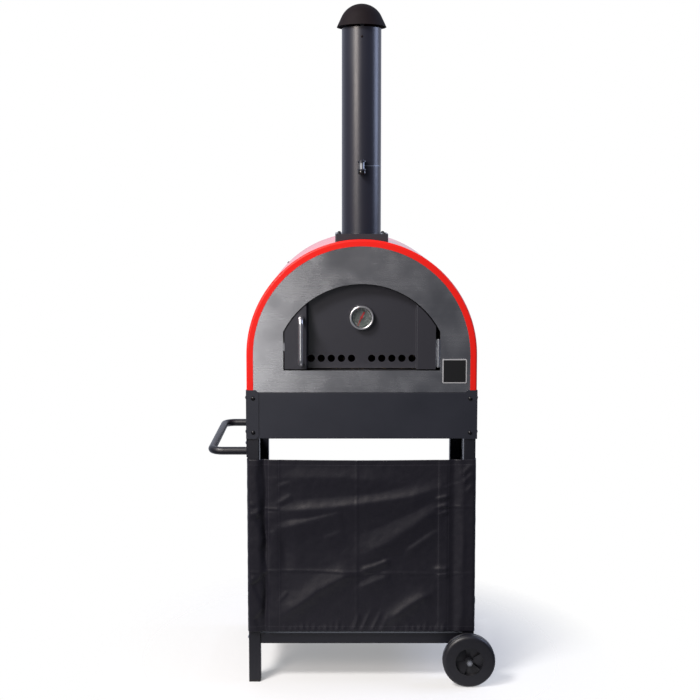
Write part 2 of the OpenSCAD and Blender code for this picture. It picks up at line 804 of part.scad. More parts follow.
module floor_board() {
    half = chamber_r - chamber_t - fit;
    y0 = chamber_y + chamber_t + fit;
    color([0.86, 0.84, 0.78]) translate([-half, y0, stand_h + pan_t])
        cube([2 * half, chamber_end - chamber_t - fit - y0, board_t]);
}

module baking_stone(sx) {
    half = chamber_r - chamber_t - 4 * fit;
    y0 = jamb_l + plate_t + 4 * fit;
    l = chamber_end - chamber_t - 4 * fit - y0;
    color([0.8, 0.72, 0.6]) translate([sx * (half + fit) / 2, y0 + l / 2, board_top])
        linear_extrude(stone_t) round_rect(half - fit, l, 4);
}

// The chamber is a closed box of sheet with the mouth in its front wall
module inner_chamber() color([0.45, 0.44, 0.43]) difference() {
    between_y(chamber_y, chamber_end) arch(chamber_r, stand_h + pan_t);
    between_y(chamber_y + chamber_t, chamber_end - chamber_t)
        arch(chamber_r - chamber_t, stand_h + pan_t - past);
    between_y(chamber_y - past, chamber_y + 2 * chamber_t) mouth(jamb_t + fit);
    flue_bore();
}

module insulation_blanket() color([0.93, 0.92, 0.88]) difference() {
    end = shell_d - pan_t - fit;
    between_y(plate_t + fit, end) arch(blanket_r, stand_h + pan_t);
    between_y(plate_t, chamber_end + fit) arch(chamber_r + fit, stand_h + pan_t - past);
    translate([0, 0, stand_h]) between_y(end - back_rim - fit, shell_d)
        translate([0, -stand_h]) difference() {
            arch(shell_r, stand_h);
            arch(pan_r - 2 * pan_t - fit, stand_h);
        }
    flue_bore();
    collar_screw_holes();
}

// The shell is one sheet bent over the arch, with its front edge rolled and turned in
module outer_shell() {
    straight = arch_z - shell_foot;
    color(red) difference() {
        union() {
            between_y(band_r - shell_t, shell_d) difference() {
                arch(shell_r, shell_foot);
                arch(shell_r - shell_t, shell_foot - past);
            }
            translate([0, -shell_t, arch_z]) rotate([-90, 0, 0])
                rotate_extrude(angle = -180, $fn = 128) band_section();
            for (sx = [0, 1]) mirror([sx, 0, 0])
                translate([0, -shell_t, shell_foot]) linear_extrude(straight) band_section();
        }
        flue_bore();
        collar_screw_holes();
        back_screw_holes();
    }
}

// Section of the rolled band: X outwards from the arch's axis, Y back from the band's face
module band_section() {
    translate([shell_r - band_w, 0]) square([band_w - band_r, shell_t]);
    intersection() {
        translate([shell_r - band_r, band_r]) difference() {
            circle(band_r);
            circle(band_r - shell_t);
        }
        translate([shell_r - band_r, 0]) square(band_r);
    }
}

module back_panel() color(black) difference() {
    between_y(shell_d - pan_t - back_rim, shell_d) arch(pan_r, shell_foot + pan_flange);
    between_y(shell_d - pan_t - back_rim - past, shell_d - pan_t)
        arch(pan_r - pan_t, stand_h);
    back_screw_holes();
}

// Screws through the shell's edge into the back panel's rim
back_screw_turns = [-90, -45, 0, 45, 90];
module at_back_screws()
    for (a = back_screw_turns)
        translate([0, shell_d - pan_t - back_rim / 2, arch_z]) rotate([0, a, 0])
            translate([0, 0, shell_r]) children();
back_screw_d = 4;
module back_screw_holes()
    at_back_screws() cylinder(d = back_screw_d + 2 * fit, h = 2 * back_rim, center = true);
module back_panel_screws() color(black)
    at_back_screws() translate([0, 0, run_gap])
        button_screw(back_screw_d, shell_t + pan_t + fit + 1, 2 * back_screw_d, 0.55 * back_screw_d);

module front_plate() color(stainless) between_y(0, plate_t) difference() {
    arch(shell_r - band_r, stand_h);
    mouth(0);
}

// Sleeve round the mouth behind the front plate, with a stop for the door at its left
module door_jamb() {
    stop_h = 20;
    stop_y = wing_y + door_t + fit;
    color([0.3, 0.3, 0.31]) {
        between_y(plate_t, plate_t + jamb_l) difference() {
            mouth(jamb_t);
            mouth(0);
        }
        translate([-mouth_w / 2 - jamb_t / 2, stop_y, sill_z + mouth_side / 2])
            cube([jamb_t / 2 + 4 * door_gap, jamb_t, stop_h]);
    }
}

module badge_plate() color([0.12, 0.12, 0.13])
    translate([badge_x, 0, stand_h + badge_z]) rotate([90, 0, 0]) {
        linear_extrude(badge_t) round_rect(badge_w, badge_w, 3);
        linear_extrude(badge_t + 0.6) difference() {
            round_rect(badge_w, badge_w, 3);
            square(badge_w - 2 * badge_rim, center = true);
        }
    }

// A ring of the hinge's barrel, from one quarter of its height to another
module knuckle(q0, q1, bore) translate([hinge_x, 0, hinge_foot + q0 * knuckle_h]) difference() {
    cylinder(d = knuckle_d, h = (q1 - q0) * knuckle_h);
    translate([0, 0, -past]) cylinder(d = bore, h = (q1 - q0) * knuckle_h + 2 * past);
}

module hinge_leaf_frame() color(zinc) difference() {
    union() {
        for (q = [0, 3]) knuckle(q, q + 1, pin_d + run_gap);
        translate([mouth_w / 2 - leaf_t, 0, hinge_foot]) cube([leaf_t, leaf_l, hinge_h]);
    }
    translate([hinge_x, 0, hinge_foot]) cylinder(d = pin_d + run_gap, h = hinge_h);
    translate([hinge_x - past, -knuckle_d, hinge_foot + knuckle_h])
        cube([knuckle_d, knuckle_d + knuckle_r + fit, 2 * knuckle_h]);
}

module hinge_pin() color(zinc) translate([hinge_x, 0, hinge_foot]) {
    cylinder(d = pin_d, h = hinge_h);
    translate([0, 0, hinge_h]) cylinder(d = knuckle_d - 1, h = 1.5);
}

module hinge_leaf_door() color(zinc) difference() {
    union() {
        knuckle(1 + fit / knuckle_h, 3 - fit / knuckle_h, pin_d + 2 * run_gap);
        translate([hinge_x - leaf_l - knuckle_d, knuckle_r - leaf_t, hinge_foot])
            cube([leaf_l + knuckle_d, leaf_t, hinge_h]);
    }
    translate([hinge_x, 0, hinge_foot - past]) cylinder(d = pin_d + 2 * run_gap, h = hinge_h + 2 * past);
    for (z = [-past, 3 * knuckle_h - fit])
        translate([hinge_x - knuckle_r - fit, -knuckle_d, hinge_foot + z])
            cube([2 * knuckle_d, 2 * knuckle_d, knuckle_h + past + fit]);
}

// Section of the left wing and its two folds, out to the door's edge
module door_half(edge) {
    mid = door_mid_w / 2;
    r = door_fold;
    translate([-edge, wing_y]) square([edge - mid + door_t - r, door_t]);
    translate([-mid + door_t - r, wing_y + r]) rotate(-90) fold_section(r, door_t);
    translate([-mid, wing_y + r]) square([door_t, door_setback + door_t - 2 * r]);
    translate([-mid + r, door_mid_y + door_t - r]) rotate(90) fold_section(r, door_t);
}

// The door is one folded sheet: a wing at each side and a set-back middle, cut to the mouth's arch
module door_panel() {
    mid = door_mid_w / 2;
    color(black) difference() {
        intersection() {
            translate([0, 0, door_foot]) linear_extrude(2 * mouth_r) {
                door_half(-door_left);
                mirror([1, 0]) door_half(door_right);
                translate([door_fold - mid, door_mid_y]) square([2 * (mid - door_fold), door_t]);
            }
            between_y(-past, door_mid_y + 2 * door_t) mouth(-door_gap);
        }
        for (sx = [-1, 1], i = [1:air_count])
            translate([sx * i * air_pitch, door_mid_y, door_foot + air_z]) rod_y(air_d, -past, door_t + past);
        translate([0, door_mid_y, therm_z]) rod_y(stem_d + 2 * fit, -past, door_t + past);
        at_bar_ends() rod_y(bar_screw_d + 2 * fit, -bar_d, bar_d);
    }
}

// Children are drawn where the handle's ends meet the door's face
module at_bar_ends()
    for (z = [bar_foot + bar_d / 2, bar_foot + bar_l - bar_d / 2]) translate([bar_x, wing_y, z]) children();

module door_handle() {
    low = bar_foot + bar_d / 2;
    high = bar_foot + bar_l - bar_d / 2;
    bar_y = wing_y - bar_off;
    color(zinc) difference() {
        union() {
            translate([bar_x, bar_y, low + bar_bend]) cylinder(d = bar_d, h = high - low - 2 * bar_bend);
            at_bar_ends() rod_y(bar_d, -bar_off + bar_bend, 0);
            translate([bar_x, bar_y + bar_bend, high - bar_bend]) rotate([0, -90, 0]) rotate(-90)
                tube_bend(bar_bend, bar_d, 0);
            translate([bar_x, bar_y + bar_bend, low + bar_bend]) rotate([0, -90, 0]) rotate(180)
                tube_bend(bar_bend, bar_d, 0);
        }
        at_bar_ends() rod_y(bar_screw_d + run_gap, -bar_off + bar_bend, past);
    }
}

module door_handle_screws() color(zinc)
    at_bar_ends() translate([0, door_t, 0]) rotate([-90, 0, 0])
        button_screw(bar_screw_d, door_t + bar_off - bar_bend - 3, 2 * bar_screw_d, 0.55 * bar_screw_d);

// Children are drawn with Z towards the viewer from the face of the door's middle
module at_dial() translate([0, door_mid_y, therm_z]) rotate([90, 0, 0]) children();

module thermometer_case() color(zinc) at_dial() difference() {
    union() {
        rotate_extrude() {
            square([case_r, case_floor]);
            translate([case_r - case_wall, 0]) square([case_wall, lens_top + bezel_h / 2]);
            translate([bezel_d / 2 - bezel_w / 2, lens_top + bezel_h / 2]) round_rect(bezel_w, bezel_h, 2.2);
        }
        translate([0, 0, -stem_l]) cylinder(d = stem_d, h = stem_l + case_floor);
    }
    translate([0, 0, -stem_l / 4]) cylinder(d = needle_shaft_d + 2 * run_gap, h = stem_l);
}

module thermometer_dial() color([0.2, 0.25, 0.25]) at_dial() translate([0, 0, case_floor]) difference() {
    cylinder(r = dial_r, h = dial_t);
    translate([0, 0, -past]) cylinder(d = needle_shaft_d + 4 * run_gap, h = dial_t + 2 * past);
}

module thermometer_lens() color([0.8, 0.85, 0.88, 0.3]) at_dial()
    translate([0, 0, lens_top - lens_t]) cylinder(r = dial_r, h = lens_t);

module thermometer_nut() color(zinc) at_dial() translate([0, 0, -door_t - stem_nut_h]) difference() {
    cylinder(d = 2 * stem_d, h = stem_nut_h, $fn = 6);
    translate([0, 0, -past]) cylinder(d = stem_d + 2 * run_gap, h = stem_nut_h + 2 * past);
}

// The needle is a pointer on a thin shaft that turns in the case
module thermometer_needle() color([0.85, 0.1, 0.1]) at_dial() rotate(-needle_rest) {
    z = case_floor + dial_t + 1;
    translate([0, 0, z]) linear_extrude(0.8) {
        polygon([
            [-needle_w / 2, 0], [-needle_w / 2, -needle_tail], [needle_w / 2, -needle_tail],
            [needle_w / 2, 0], [0.4, needle_tip], [-0.4, needle_tip]
        ]);
        circle(needle_w);
    }
    translate([0, 0, -stem_l / 4 + 1]) cylinder(d = needle_shaft_d, h = z + stem_l / 4);
}

// Collar: a square hood saddled on the shell, with a spigot that carries the pipe
module flue_collar() {
    foot = arch_z + shell_r * 0.9;
    color(black) difference() {
        union() {
            translate([0, flue_y, foot]) linear_extrude(flue_foot - foot) round_rect(collar_w, collar_w, 3);
            translate([0, flue_y, spigot_foot])
                cylinder(r = spigot_r, h = flue_foot + spigot_up - spigot_foot);
        }
        difference() {
            translate([0, flue_y, foot - past]) linear_extrude(flue_foot - foot + past - collar_t)
                square(collar_w - 2 * collar_t, center = true);
            translate([0, flue_y, 0]) cylinder(r = spigot_r, h = 2 * flue_foot);
        }
        difference() {
            between_y(0, 2 * flue_y + collar_w) translate([0, arch_z]) circle(shell_r + fit, $fn = 128);
            translate([0, flue_y, 0]) cylinder(r = spigot_r, h = 2 * flue_foot);
        }
        translate([0, flue_y, spigot_foot - past])
            cylinder(r = spigot_r - flue_t, h = flue_foot + spigot_up - spigot_foot + 2 * past);
        collar_screw_holes();
    }
}

module at_collar_screws()
    for (sx = [-1, 1], sy = [-1, 1])
        translate([sx * collar_screw, flue_y + sy * collar_screw, flue_foot]) children();
module collar_screw_holes()
    at_collar_screws() translate([0, 0, -2 * collar_screw_l])
        cylinder(d = collar_screw_d + 2 * fit, h = 3 * collar_screw_l);
module collar_screws() color(black)
    at_collar_screws() button_screw(collar_screw_d, collar_screw_l, 2 * collar_screw_d, 0.8 * collar_screw_d);

// Slot for the damper round the pipe's right half, and in front for the damper's ear
module gate_slot() translate([0, flue_y, gate_z - gate_slot / 2]) {
    translate([0, -flue_d, 0]) cube([flue_d, 2 * flue_d, gate_slot]);
    translate([-ear_w / 2 - 4 * fit, -flue_d, 0]) cube([flue_d, flue_d, gate_slot]);
}

module flue_pipe() color(black) difference() {
    translate([0, flue_y, flue_foot]) cylinder(r = flue_r, h = flue_l);
    translate([0, flue_y, flue_foot - past]) cylinder(r = flue_r - flue_t, h = flue_l + 2 * past);
    gate_slot();
    at_straps() translate([0, 0, rivet_z]) rod_x(rivet_d + 2 * fit, 0, flue_d);
}

// Two lugs on the pipe's front hold the damper's pivot above and below its barrel
module damper_lugs() color(zinc) difference() {
    for (z = [lug_low - lug_t, lug_high]) translate([0, pivot_y, z]) linear_extrude(lug_t) {
        circle(d = lug_w);
        translate([-lug_w / 2, 0]) square([lug_w, gate_pivot + 4]);
    }
    translate([0, flue_y, gate_z - 2 * barrel_h]) cylinder(r = flue_r + run_gap, h = 4 * barrel_h);
    translate([0, pivot_y, gate_z - 2 * barrel_h]) cylinder(d = pivot_d + 2 * run_gap, h = 4 * barrel_h);
}

// A round gate with an ear and a barrel, which swings out through the slot
module damper_plate() color(zinc) difference() {
    union() {
        translate([0, flue_y, gate_z - gate_t / 2]) linear_extrude(gate_t) {
            circle(gate_in_r);
            intersection() {
                circle(gate_out_r);
                translate([0, -flue_d]) square([flue_d, 2 * flue_d]);
            }
            translate([-ear_w / 2, -flue_r - gate_pivot]) square([ear_w, gate_pivot + flue_r / 2]);
        }
        translate([0, pivot_y, gate_z - barrel_h / 2]) cylinder(d = barrel_d, h = barrel_h);
    }
    translate([0, pivot_y, gate_z - barrel_h]) cylinder(d = pivot_d + run_gap, h = 2 * barrel_h);
}

module damper_pivot() color(zinc) translate([0, pivot_y, lug_low - lug_t - knob_h]) {
    cylinder(d = pivot_d, h = lug_high + lug_t + fit - lug_low + lug_t + knob_h);
    translate([0, 0, lug_high + lug_t + fit - lug_low + lug_t + knob_h]) cylinder(d = 1.6 * pivot_d, h = 2);
}

module damper_knob() color([0.06, 0.06, 0.07])
    translate([0, pivot_y, lug_low - lug_t - knob_h - fit]) difference() {
        rotate_extrude() intersection() {
            translate([0, knob_h / 2]) round_rect(knob_d, knob_h, 3);
            square([knob_d, knob_h]);
        }
        translate([0, 0, fit]) cylinder(d = pivot_d + run_gap, h = knob_h);
    }

// Outline of the cap in radius and Z, drawn in by a margin
module cap_outline(margin) {
    r = dome_r - margin;
    knee_r = r * cos(skirt_slant);
    knee_z = dome_z + r * sin(skirt_slant);
    foot_z = rim_z - (margin > 0 ? past : 0);
    foot_r = knee_r + (knee_z - foot_z) * tan(skirt_slant);
    polygon([[0, foot_z], [foot_r, foot_z], [knee_r, knee_z], [0, knee_z]]);
    intersection() {
        translate([0, dome_z]) circle(r);
        translate([0, knee_z]) square(r);
    }
}

module flue_cap() color(black) translate([0, flue_y, 0]) rotate_extrude() difference() {
    cap_outline(0);
    cap_outline(cap_t);
}

// Children are drawn with X pointing out of the pipe at each strap
strap_turns = [-90, 30, 150];
module at_straps() for (a = strap_turns) translate([0, flue_y, 0]) rotate(a) children();

module cap_straps() color(black) difference() {
    at_straps() translate([strap_r, -strap_w / 2, flue_top - strap_in])
        cube([strap_t, strap_w, strap_top - flue_top + strap_in]);
    at_straps() translate([0, 0, rivet_z]) rod_x(rivet_d + 2 * fit, 0, flue_d);
}

module cap_rivets() color(zinc)
    at_straps() translate([flue_r + run_gap, 0, rivet_z]) rotate([0, 90, 0])
        button_screw(rivet_d, flue_r - strap_r + 1, 2 * rivet_d, 0.47 * rivet_d);

at_frame() leg(-1, -1);  // leg_front_left
at_frame() leg(-1, 1);  // leg_rear_left
at_frame() leg(1, -1);  // leg_front_right
at_frame() leg(1, 1);  // leg_rear_right
at_frame() leg_plugs();
at_frame() lower_shelf();
at_frame() shelf_screws();
at_frame() apron_front();
at_frame() apron_rear();
at_frame() apron_side(-1);  // apron_left
at_frame() apron_side(1);  // apron_right
at_frame() bracket(-1, -1);  // bracket_front_left
at_frame() bracket(-1, 1);  // bracket_rear_left
at_frame() bracket(1, -1);  // bracket_front_right
at_frame() bracket(1, 1);  // bracket_rear_right
at_frame() bracket_screws();
at_frame() push_handle();
at_frame() push_handle_screws();
at_frame() fabric_cover();
at_frame() wheel_axle();
at_frame() axle_spacers();
at_frame() axle_nuts();
at_frame() wheel_hub(-1);  // wheel_hub_front
at_frame() tyre(-1);  // tyre_front
at_frame() wheel_hub(1);  // wheel_hub_rear
at_frame() tyre(1);  // tyre_rear
at_frame() oven_base();
at_frame() floor_board();
at_frame() baking_stone(-1);  // baking_stone_left
at_frame() baking_stone(1);  // baking_stone_right
at_frame() inner_chamber();
at_frame() insulation_blanket();
at_frame() outer_shell();
at_frame() back_panel();
at_frame() back_panel_screws();
at_frame() front_plate();
at_frame() door_jamb();
at_frame() badge_plate();
at_frame() hinge_leaf_frame();
at_frame() hinge_pin();
at_frame() door_panel();
at_frame() hinge_leaf_door();
at_frame() door_handle();
at_frame() door_handle_screws();
at_frame() thermometer_case();
at_frame() thermometer_dial();
at_frame() thermometer_lens();
at_frame() thermometer_nut();
at_frame() thermometer_needle();
at_frame() flue_collar();
at_frame() collar_screws();
at_frame() flue_pipe();
at_frame() damper_lugs();
at_frame() damper_plate();
at_frame() damper_pivot();
at_frame() damper_knob();
at_frame() flue_cap();
at_frame() cap_straps();
at_frame() cap_rivets();
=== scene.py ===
"""Wood-fired pizza oven on a wheeled stand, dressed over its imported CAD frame. Sizes are in metres."""

import math

import bpy
import numpy as np
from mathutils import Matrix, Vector, noise


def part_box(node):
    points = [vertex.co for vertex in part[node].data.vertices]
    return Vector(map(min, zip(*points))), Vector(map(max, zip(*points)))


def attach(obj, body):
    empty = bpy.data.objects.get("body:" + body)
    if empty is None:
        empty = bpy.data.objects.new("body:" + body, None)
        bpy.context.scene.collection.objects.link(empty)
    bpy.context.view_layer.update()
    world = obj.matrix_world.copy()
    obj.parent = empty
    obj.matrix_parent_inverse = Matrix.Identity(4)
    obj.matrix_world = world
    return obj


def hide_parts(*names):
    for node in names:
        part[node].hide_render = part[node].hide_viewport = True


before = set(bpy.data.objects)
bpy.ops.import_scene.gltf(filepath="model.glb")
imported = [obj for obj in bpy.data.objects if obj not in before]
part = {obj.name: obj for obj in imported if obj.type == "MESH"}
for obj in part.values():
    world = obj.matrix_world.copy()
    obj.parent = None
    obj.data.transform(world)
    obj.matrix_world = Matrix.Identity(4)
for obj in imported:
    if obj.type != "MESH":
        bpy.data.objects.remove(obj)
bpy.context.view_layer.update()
bpy.ops.object.select_all(action="DESELECT")


# Legs, lower shelf and push handle: square steel tube, a folded tray and a bent round tube, screwed together.
# They are powder coated a deep black, a baked plastic skin with a soft sheen and a faint orange peel.
# Orange peel is about 1 mm and is drawn at 2.5 mm so that it shows; handling shines patches about 80 mm wide.
def linear(hex_colour):
    """An sRGB hex colour as the linear RGBA that shader sockets take."""
    srgb = [int(hex_colour[i:i + 2], 16) / 255 for i in (1, 3, 5)]
    return [c / 12.92 if c <= 0.04045 else ((c + 0.055) / 1.055) ** 2.4 for c in srgb] + [1.0]


def feed(tree, node, links):
    """Links outputs, each given as (node, output), to a node's inputs."""
    for name, (source, output) in links.items():
        tree.links.new(source.outputs[output], node.inputs[name])


def add_node(tree, kind, values=None, links=None, **settings):
    """Adds one shader node with its settings, its input values and its links from (node, output)."""
    made = tree.nodes.new(kind)
    for name, value in settings.items():
        setattr(made, name, value)
    for name, value in (values or {}).items():
        made.inputs[name].default_value = value
    feed(tree, made, links or {})
    return made


def new_finish(name, colour, roughness, metallic=0.0):
    """A material with its shader, and the Object coordinates that its patterns read."""
    made = bpy.data.materials.new(name)
    made.use_nodes = True
    tree = made.node_tree
    shader = tree.nodes["Principled BSDF"]
    shader.inputs["Base Color"].default_value = linear(colour)
    shader.inputs["Roughness"].default_value = roughness
    shader.inputs["Metallic"].default_value = metallic
    place = add_node(tree, "ShaderNodeTexCoord")
    return made, tree, shader, place


def dress(finish, *nodes):
    """Gives CAD nodes one finish."""
    for name in nodes:
        part[name].data.materials.clear()
        part[name].data.materials.append(finish)


tube_coat, tree, shader, place = new_finish("deep black powder coat", "#0e0f18", 0.42)
peel = add_node(tree, "ShaderNodeTexNoise", {"Scale": 400.0, "Detail": 2.0}, {"Vector": (place, "Object")})
patches = add_node(tree, "ShaderNodeTexNoise", {"Scale": 12.0, "Detail": 4.0}, {"Vector": (place, "Object")})
sheen = add_node(tree, "ShaderNodeMapRange", {"To Min": 0.38, "To Max": 0.5}, {"Value": (patches, "Fac")})
bumps = add_node(tree, "ShaderNodeBump", {"Strength": 0.12, "Distance": 0.0003}, {"Height": (peel, "Fac")})
feed(tree, shader, {"Roughness": (sheen, "Result"), "Normal": (bumps, "Normal")})
dress(
    tube_coat, "leg_front_left", "leg_rear_left", "leg_front_right", "leg_rear_right", "lower_shelf", "push_handle",
)

# Leg plugs: black polypropylene caps pushed into the tube ends.
# Moulding gives them a dull face with a fine grain, drawn at 1.4 mm so that it shows.
plug_plastic, tree, shader, place = new_finish("moulded polypropylene", "#141415", 0.62)
grain = add_node(tree, "ShaderNodeTexNoise", {"Scale": 700.0, "Detail": 3.0}, {"Vector": (place, "Object")})
bumps = add_node(tree, "ShaderNodeBump", {"Strength": 0.2, "Distance": 0.0004}, {"Height": (grain, "Fac")})
feed(tree, shader, {"Normal": (bumps, "Normal")})
dress(plug_plastic, "leg_plugs")

# Aprons, corner brackets, base pan and back panel: folded and cut sheet steel, screwed to the legs and the shell.
# They have the same kind of powder coat as the legs, in a lighter and slightly blue black.
powder_coat, tree, shader, place = new_finish("black powder coat", "#1f212a", 0.42)
peel = add_node(tree, "ShaderNodeTexNoise", {"Scale": 400.0, "Detail": 2.0}, {"Vector": (place, "Object")})
patches = add_node(tree, "ShaderNodeTexNoise", {"Scale": 12.0, "Detail": 4.0}, {"Vector": (place, "Object")})
sheen = add_node(tree, "ShaderNodeMapRange", {"To Min": 0.36, "To Max": 0.5}, {"Value": (patches, "Fac")})
tint = add_node(tree, "ShaderNodeMix", {"A": linear("#1c1e26"), "B": linear("#22242e")},
                {"Factor": (patches, "Fac")}, data_type="RGBA")
bumps = add_node(tree, "ShaderNodeBump", {"Strength": 0.12, "Distance": 0.0003}, {"Height": (peel, "Fac")})
feed(tree, shader, {"Base Color": (tint, "Result"), "Roughness": (sheen, "Result"), "Normal": (bumps, "Normal")})
dress(
    powder_coat, "apron_front", "apron_rear", "apron_left", "apron_right", "bracket_front_left",
    "bracket_rear_left", "bracket_front_right", "bracket_rear_right", "oven_base", "back_panel",
)

# Screws of the brackets, the back panel and the flue collar: button heads of blackened steel.
# Phosphate on steel is nearly black, with a dry metallic sheen that is thin in patches about 3 mm wide.
black_screw, tree, shader, place = new_finish("blackened steel", "#1b1b1e", 0.38, 0.6)
rub = add_node(tree, "ShaderNodeTexNoise", {"Scale": 300.0, "Detail": 3.0}, {"Vector": (place, "Object")})
worn = add_node(tree, "ShaderNodeMapRange", {"To Min": 0.28, "To Max": 0.5}, {"Value": (rub, "Fac")})
feed(tree, shader, {"Roughness": (worn, "Result")})
dress(black_screw, "bracket_screws", "back_panel_screws", "collar_screws")

# Axle and its spacers, hinge, thermometer nut, and the screws of the shelf and both handles: zinc-plated steel.
# Bright zinc is a pale, slightly blue metal with a crystalline mottle, drawn at 4 mm so that it shows.
zinc, tree, shader, place = new_finish("bright zinc plate", "#b9bcc2", 0.3, 1.0)
mottle = add_node(tree, "ShaderNodeTexNoise", {"Scale": 260.0, "Detail": 4.0}, {"Vector": (place, "Object")})
dull = add_node(tree, "ShaderNodeMapRange", {"To Min": 0.22, "To Max": 0.42}, {"Value": (mottle, "Fac")})
feed(tree, shader, {"Roughness": (dull, "Result")})
dress(
    zinc, "shelf_screws", "push_handle_screws", "wheel_axle", "axle_spacers",
    "hinge_leaf_frame", "hinge_pin", "hinge_leaf_door", "door_handle_screws", "thermometer_nut",
)

# Axle nuts and damper plate: hexagon nuts on the axle's ends, and a cut gate that swings out of the flue.
# Both are hot-dip galvanised, which weathers to a dull grey with grains of about 1.4 mm.
galvanised, tree, shader, place = new_finish("dull galvanised steel", "#8d9095", 0.5, 1.0)
grains = add_node(tree, "ShaderNodeTexVoronoi", {"Scale": 700.0}, {"Vector": (place, "Object")})
spangle = add_node(tree, "ShaderNodeMapRange", {"To Min": 0.42, "To Max": 0.6}, {"Value": (grains, "Distance")})
feed(tree, shader, {"Roughness": (spangle, "Result")})
dress(galvanised, "axle_nuts", "damper_plate")

# Wheel hubs: moulded nylon with slanted blades, running on the axle between a spacer and a nut.
# Nylon has a satin face, with flow marks about 11 mm wide left by the mould.
hub_nylon, tree, shader, place = new_finish("moulded nylon", "#15151a", 0.36)
flow = add_node(tree, "ShaderNodeTexNoise", {"Scale": 90.0, "Detail": 3.0}, {"Vector": (place, "Object")})
satin = add_node(tree, "ShaderNodeMapRange", {"To Min": 0.32, "To Max": 0.48}, {"Value": (flow, "Fac")})
feed(tree, shader, {"Roughness": (satin, "Result")})
dress(hub_nylon, "wheel_hub_front", "wheel_hub_rear")

# Tyres: solid rubber rings pressed on the hubs.
# Rubber is duller than the nylon, with dust in patches of about 17 mm and pores drawn at 1.1 mm.
tyre_rubber, tree, shader, place = new_finish("black rubber", "#131319", 0.44)
dust = add_node(tree, "ShaderNodeTexNoise", {"Scale": 60.0, "Detail": 6.0}, {"Vector": (place, "Object")})
greyed = add_node(tree, "ShaderNodeMix", {"A": linear("#101016"), "B": linear("#18181f")},
                  {"Factor": (dust, "Fac")}, data_type="RGBA")
pores = add_node(tree, "ShaderNodeTexNoise", {"Scale": 900.0, "Detail": 2.0}, {"Vector": (place, "Object")})
bumps = add_node(tree, "ShaderNodeBump", {"Strength": 0.15, "Distance": 0.0004}, {"Height": (pores, "Fac")})
feed(tree, shader, {"Base Color": (greyed, "Result"), "Normal": (bumps, "Normal")})
dress(tyre_rubber, "tyre_front", "tyre_rear")

# Cover: one band of coated nylon round the front and sides, sewn in panels and turned in behind the rear legs.
# It is pulled askew between the legs, so it falls in slanting folds, and it keeps the creases of its packing.
cover_low, cover_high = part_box("fabric_cover")
cover_h = cover_high.z - cover_low.z
middle = (cover_low.x + cover_high.x) / 2
leg_low, leg_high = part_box("leg_front_left")
leg_w = leg_high.x - leg_low.x
free_half = middle - leg_high.x
off_leg = 0.0016
left_x, right_x = leg_low.x - off_leg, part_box("leg_front_right")[1].x + off_leg
front_y, rear_y = leg_low.y - off_leg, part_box("leg_rear_left")[1].y + off_leg
seams = (-0.2360, -0.2100, 0.1960, 0.2215)
hem = 0.014
cloth_t = 0.0011

# A fold falls away on both sides and keeps a share of its height at its ends and over a leg
fold_falloff, fold_end, over_leg = 1.5, 0.3, 0.6
# Crests of the folds on the front: points in X from the middle and Z, height, and width above and below
crests = [
    ([(-.200, .535), (-.060, .537), (.075, .527)], .0039, .017, .036),
    ([(-.212, .447), (-.068, .459), (.044, .474), (.125, .486), (.200, .509)], .0077, .014, .043),
    ([(-.212, .400), (-.144, .420), (-.068, .441), (-.027, .454)], .0074, .017, .043),
    ([(-.007, .327), (.074, .371), (.146, .422), (.205, .462)], .0070, .029, .030),
    ([(-.214, .168), (-.108, .244), (-.047, .277), (-.004, .286)], .0091, .026, .021),
    ([(-.006, .291), (.034, .304), (.074, .322)], .0052, .009, .013),
    ([(.064, .158), (.110, .194), (.146, .219), (.180, .231)], .0078, .016, .018),
    ([(.110, .338), (.198, .399)], .0034, .011, .018),
    ([(-.012, .243), (.074, .281)], .0043, .013, .018),
    ([(-.100, .372), (-.040, .400)], .0033, .021, .029),
    ([(-.214, .512), (-.176, .526)], .0022, .007, .012),
    ([(-.214, .466), (-.176, .490)], .0026, .007, .012),
    ([(-.214, .206), (-.186, .240)], .0027, .008, .013),
    ([(.186, .480), (.222, .487)], .0049, .006, .010),
    ([(.172, .452), (.222, .466)], .0049, .006, .008),
    ([(.188, .438), (.220, .447)], .0043, .005, .008),
    ([(.186, .296), (.222, .297)], .0046, .006, .008),
    ([(.190, .279), (.222, .283)], .0036, .005, .008),
    ([(-.283, .470), (-.270, .463)], .0033, .006, .010),
    ([(-.286, .441), (-.256, .447)], .0046, .006, .010),
    ([(-.286, .262), (-.272, .280)], .0039, .006, .010),
    ([(.251, .541), (.279, .568)], .0043, .006, .010),
    ([(.256, .521), (.281, .547)], .0043, .006, .010),
    ([(.266, .496), (.281, .517)], .0036, .006, .008),
]
# Gathers of the lower hem: foot in X, lean, length and height; the hem's stitching holds their feet down
gather_pitch, gather_w, stitched_h = .0150, .0052, .006
gathers = [
    (-.196 + gather_pitch * i, .05, .024 + .008 * math.sin(5 * i), .0040 + .0010 * math.sin(3 * i))
    for i in range(11)
]
gathers += [(-.022, .35, .056, .0048), (.000, .42, .062, .0052), (.026, .46, .062, .0050), (.050, .42, .052, .0042)]
gathers += [
    (.088 + gather_pitch * i, .10, .022 + .007 * math.sin(4 * i), .0040 + .0010 * math.sin(5 * i))
    for i in range(9)
]
# Packing creases: Z of the two across, the X beyond which the upper one shows, X of the upright one
upper_crease_z, lower_crease_z, upper_crease_from, upright_crease_x = .456, .288, .21, -.012
crease_w, crease_h, upright_crease_w, upright_crease_h = .0022, .0016, .0020, .0013
upper_crease_slope, lower_crease_waver = .014, .004
# Cloth doubled at the upright seams, and the width over which a fold dies away beside a leg
doubled_h, doubled_edge, beside_leg = .0011, .0006, .014
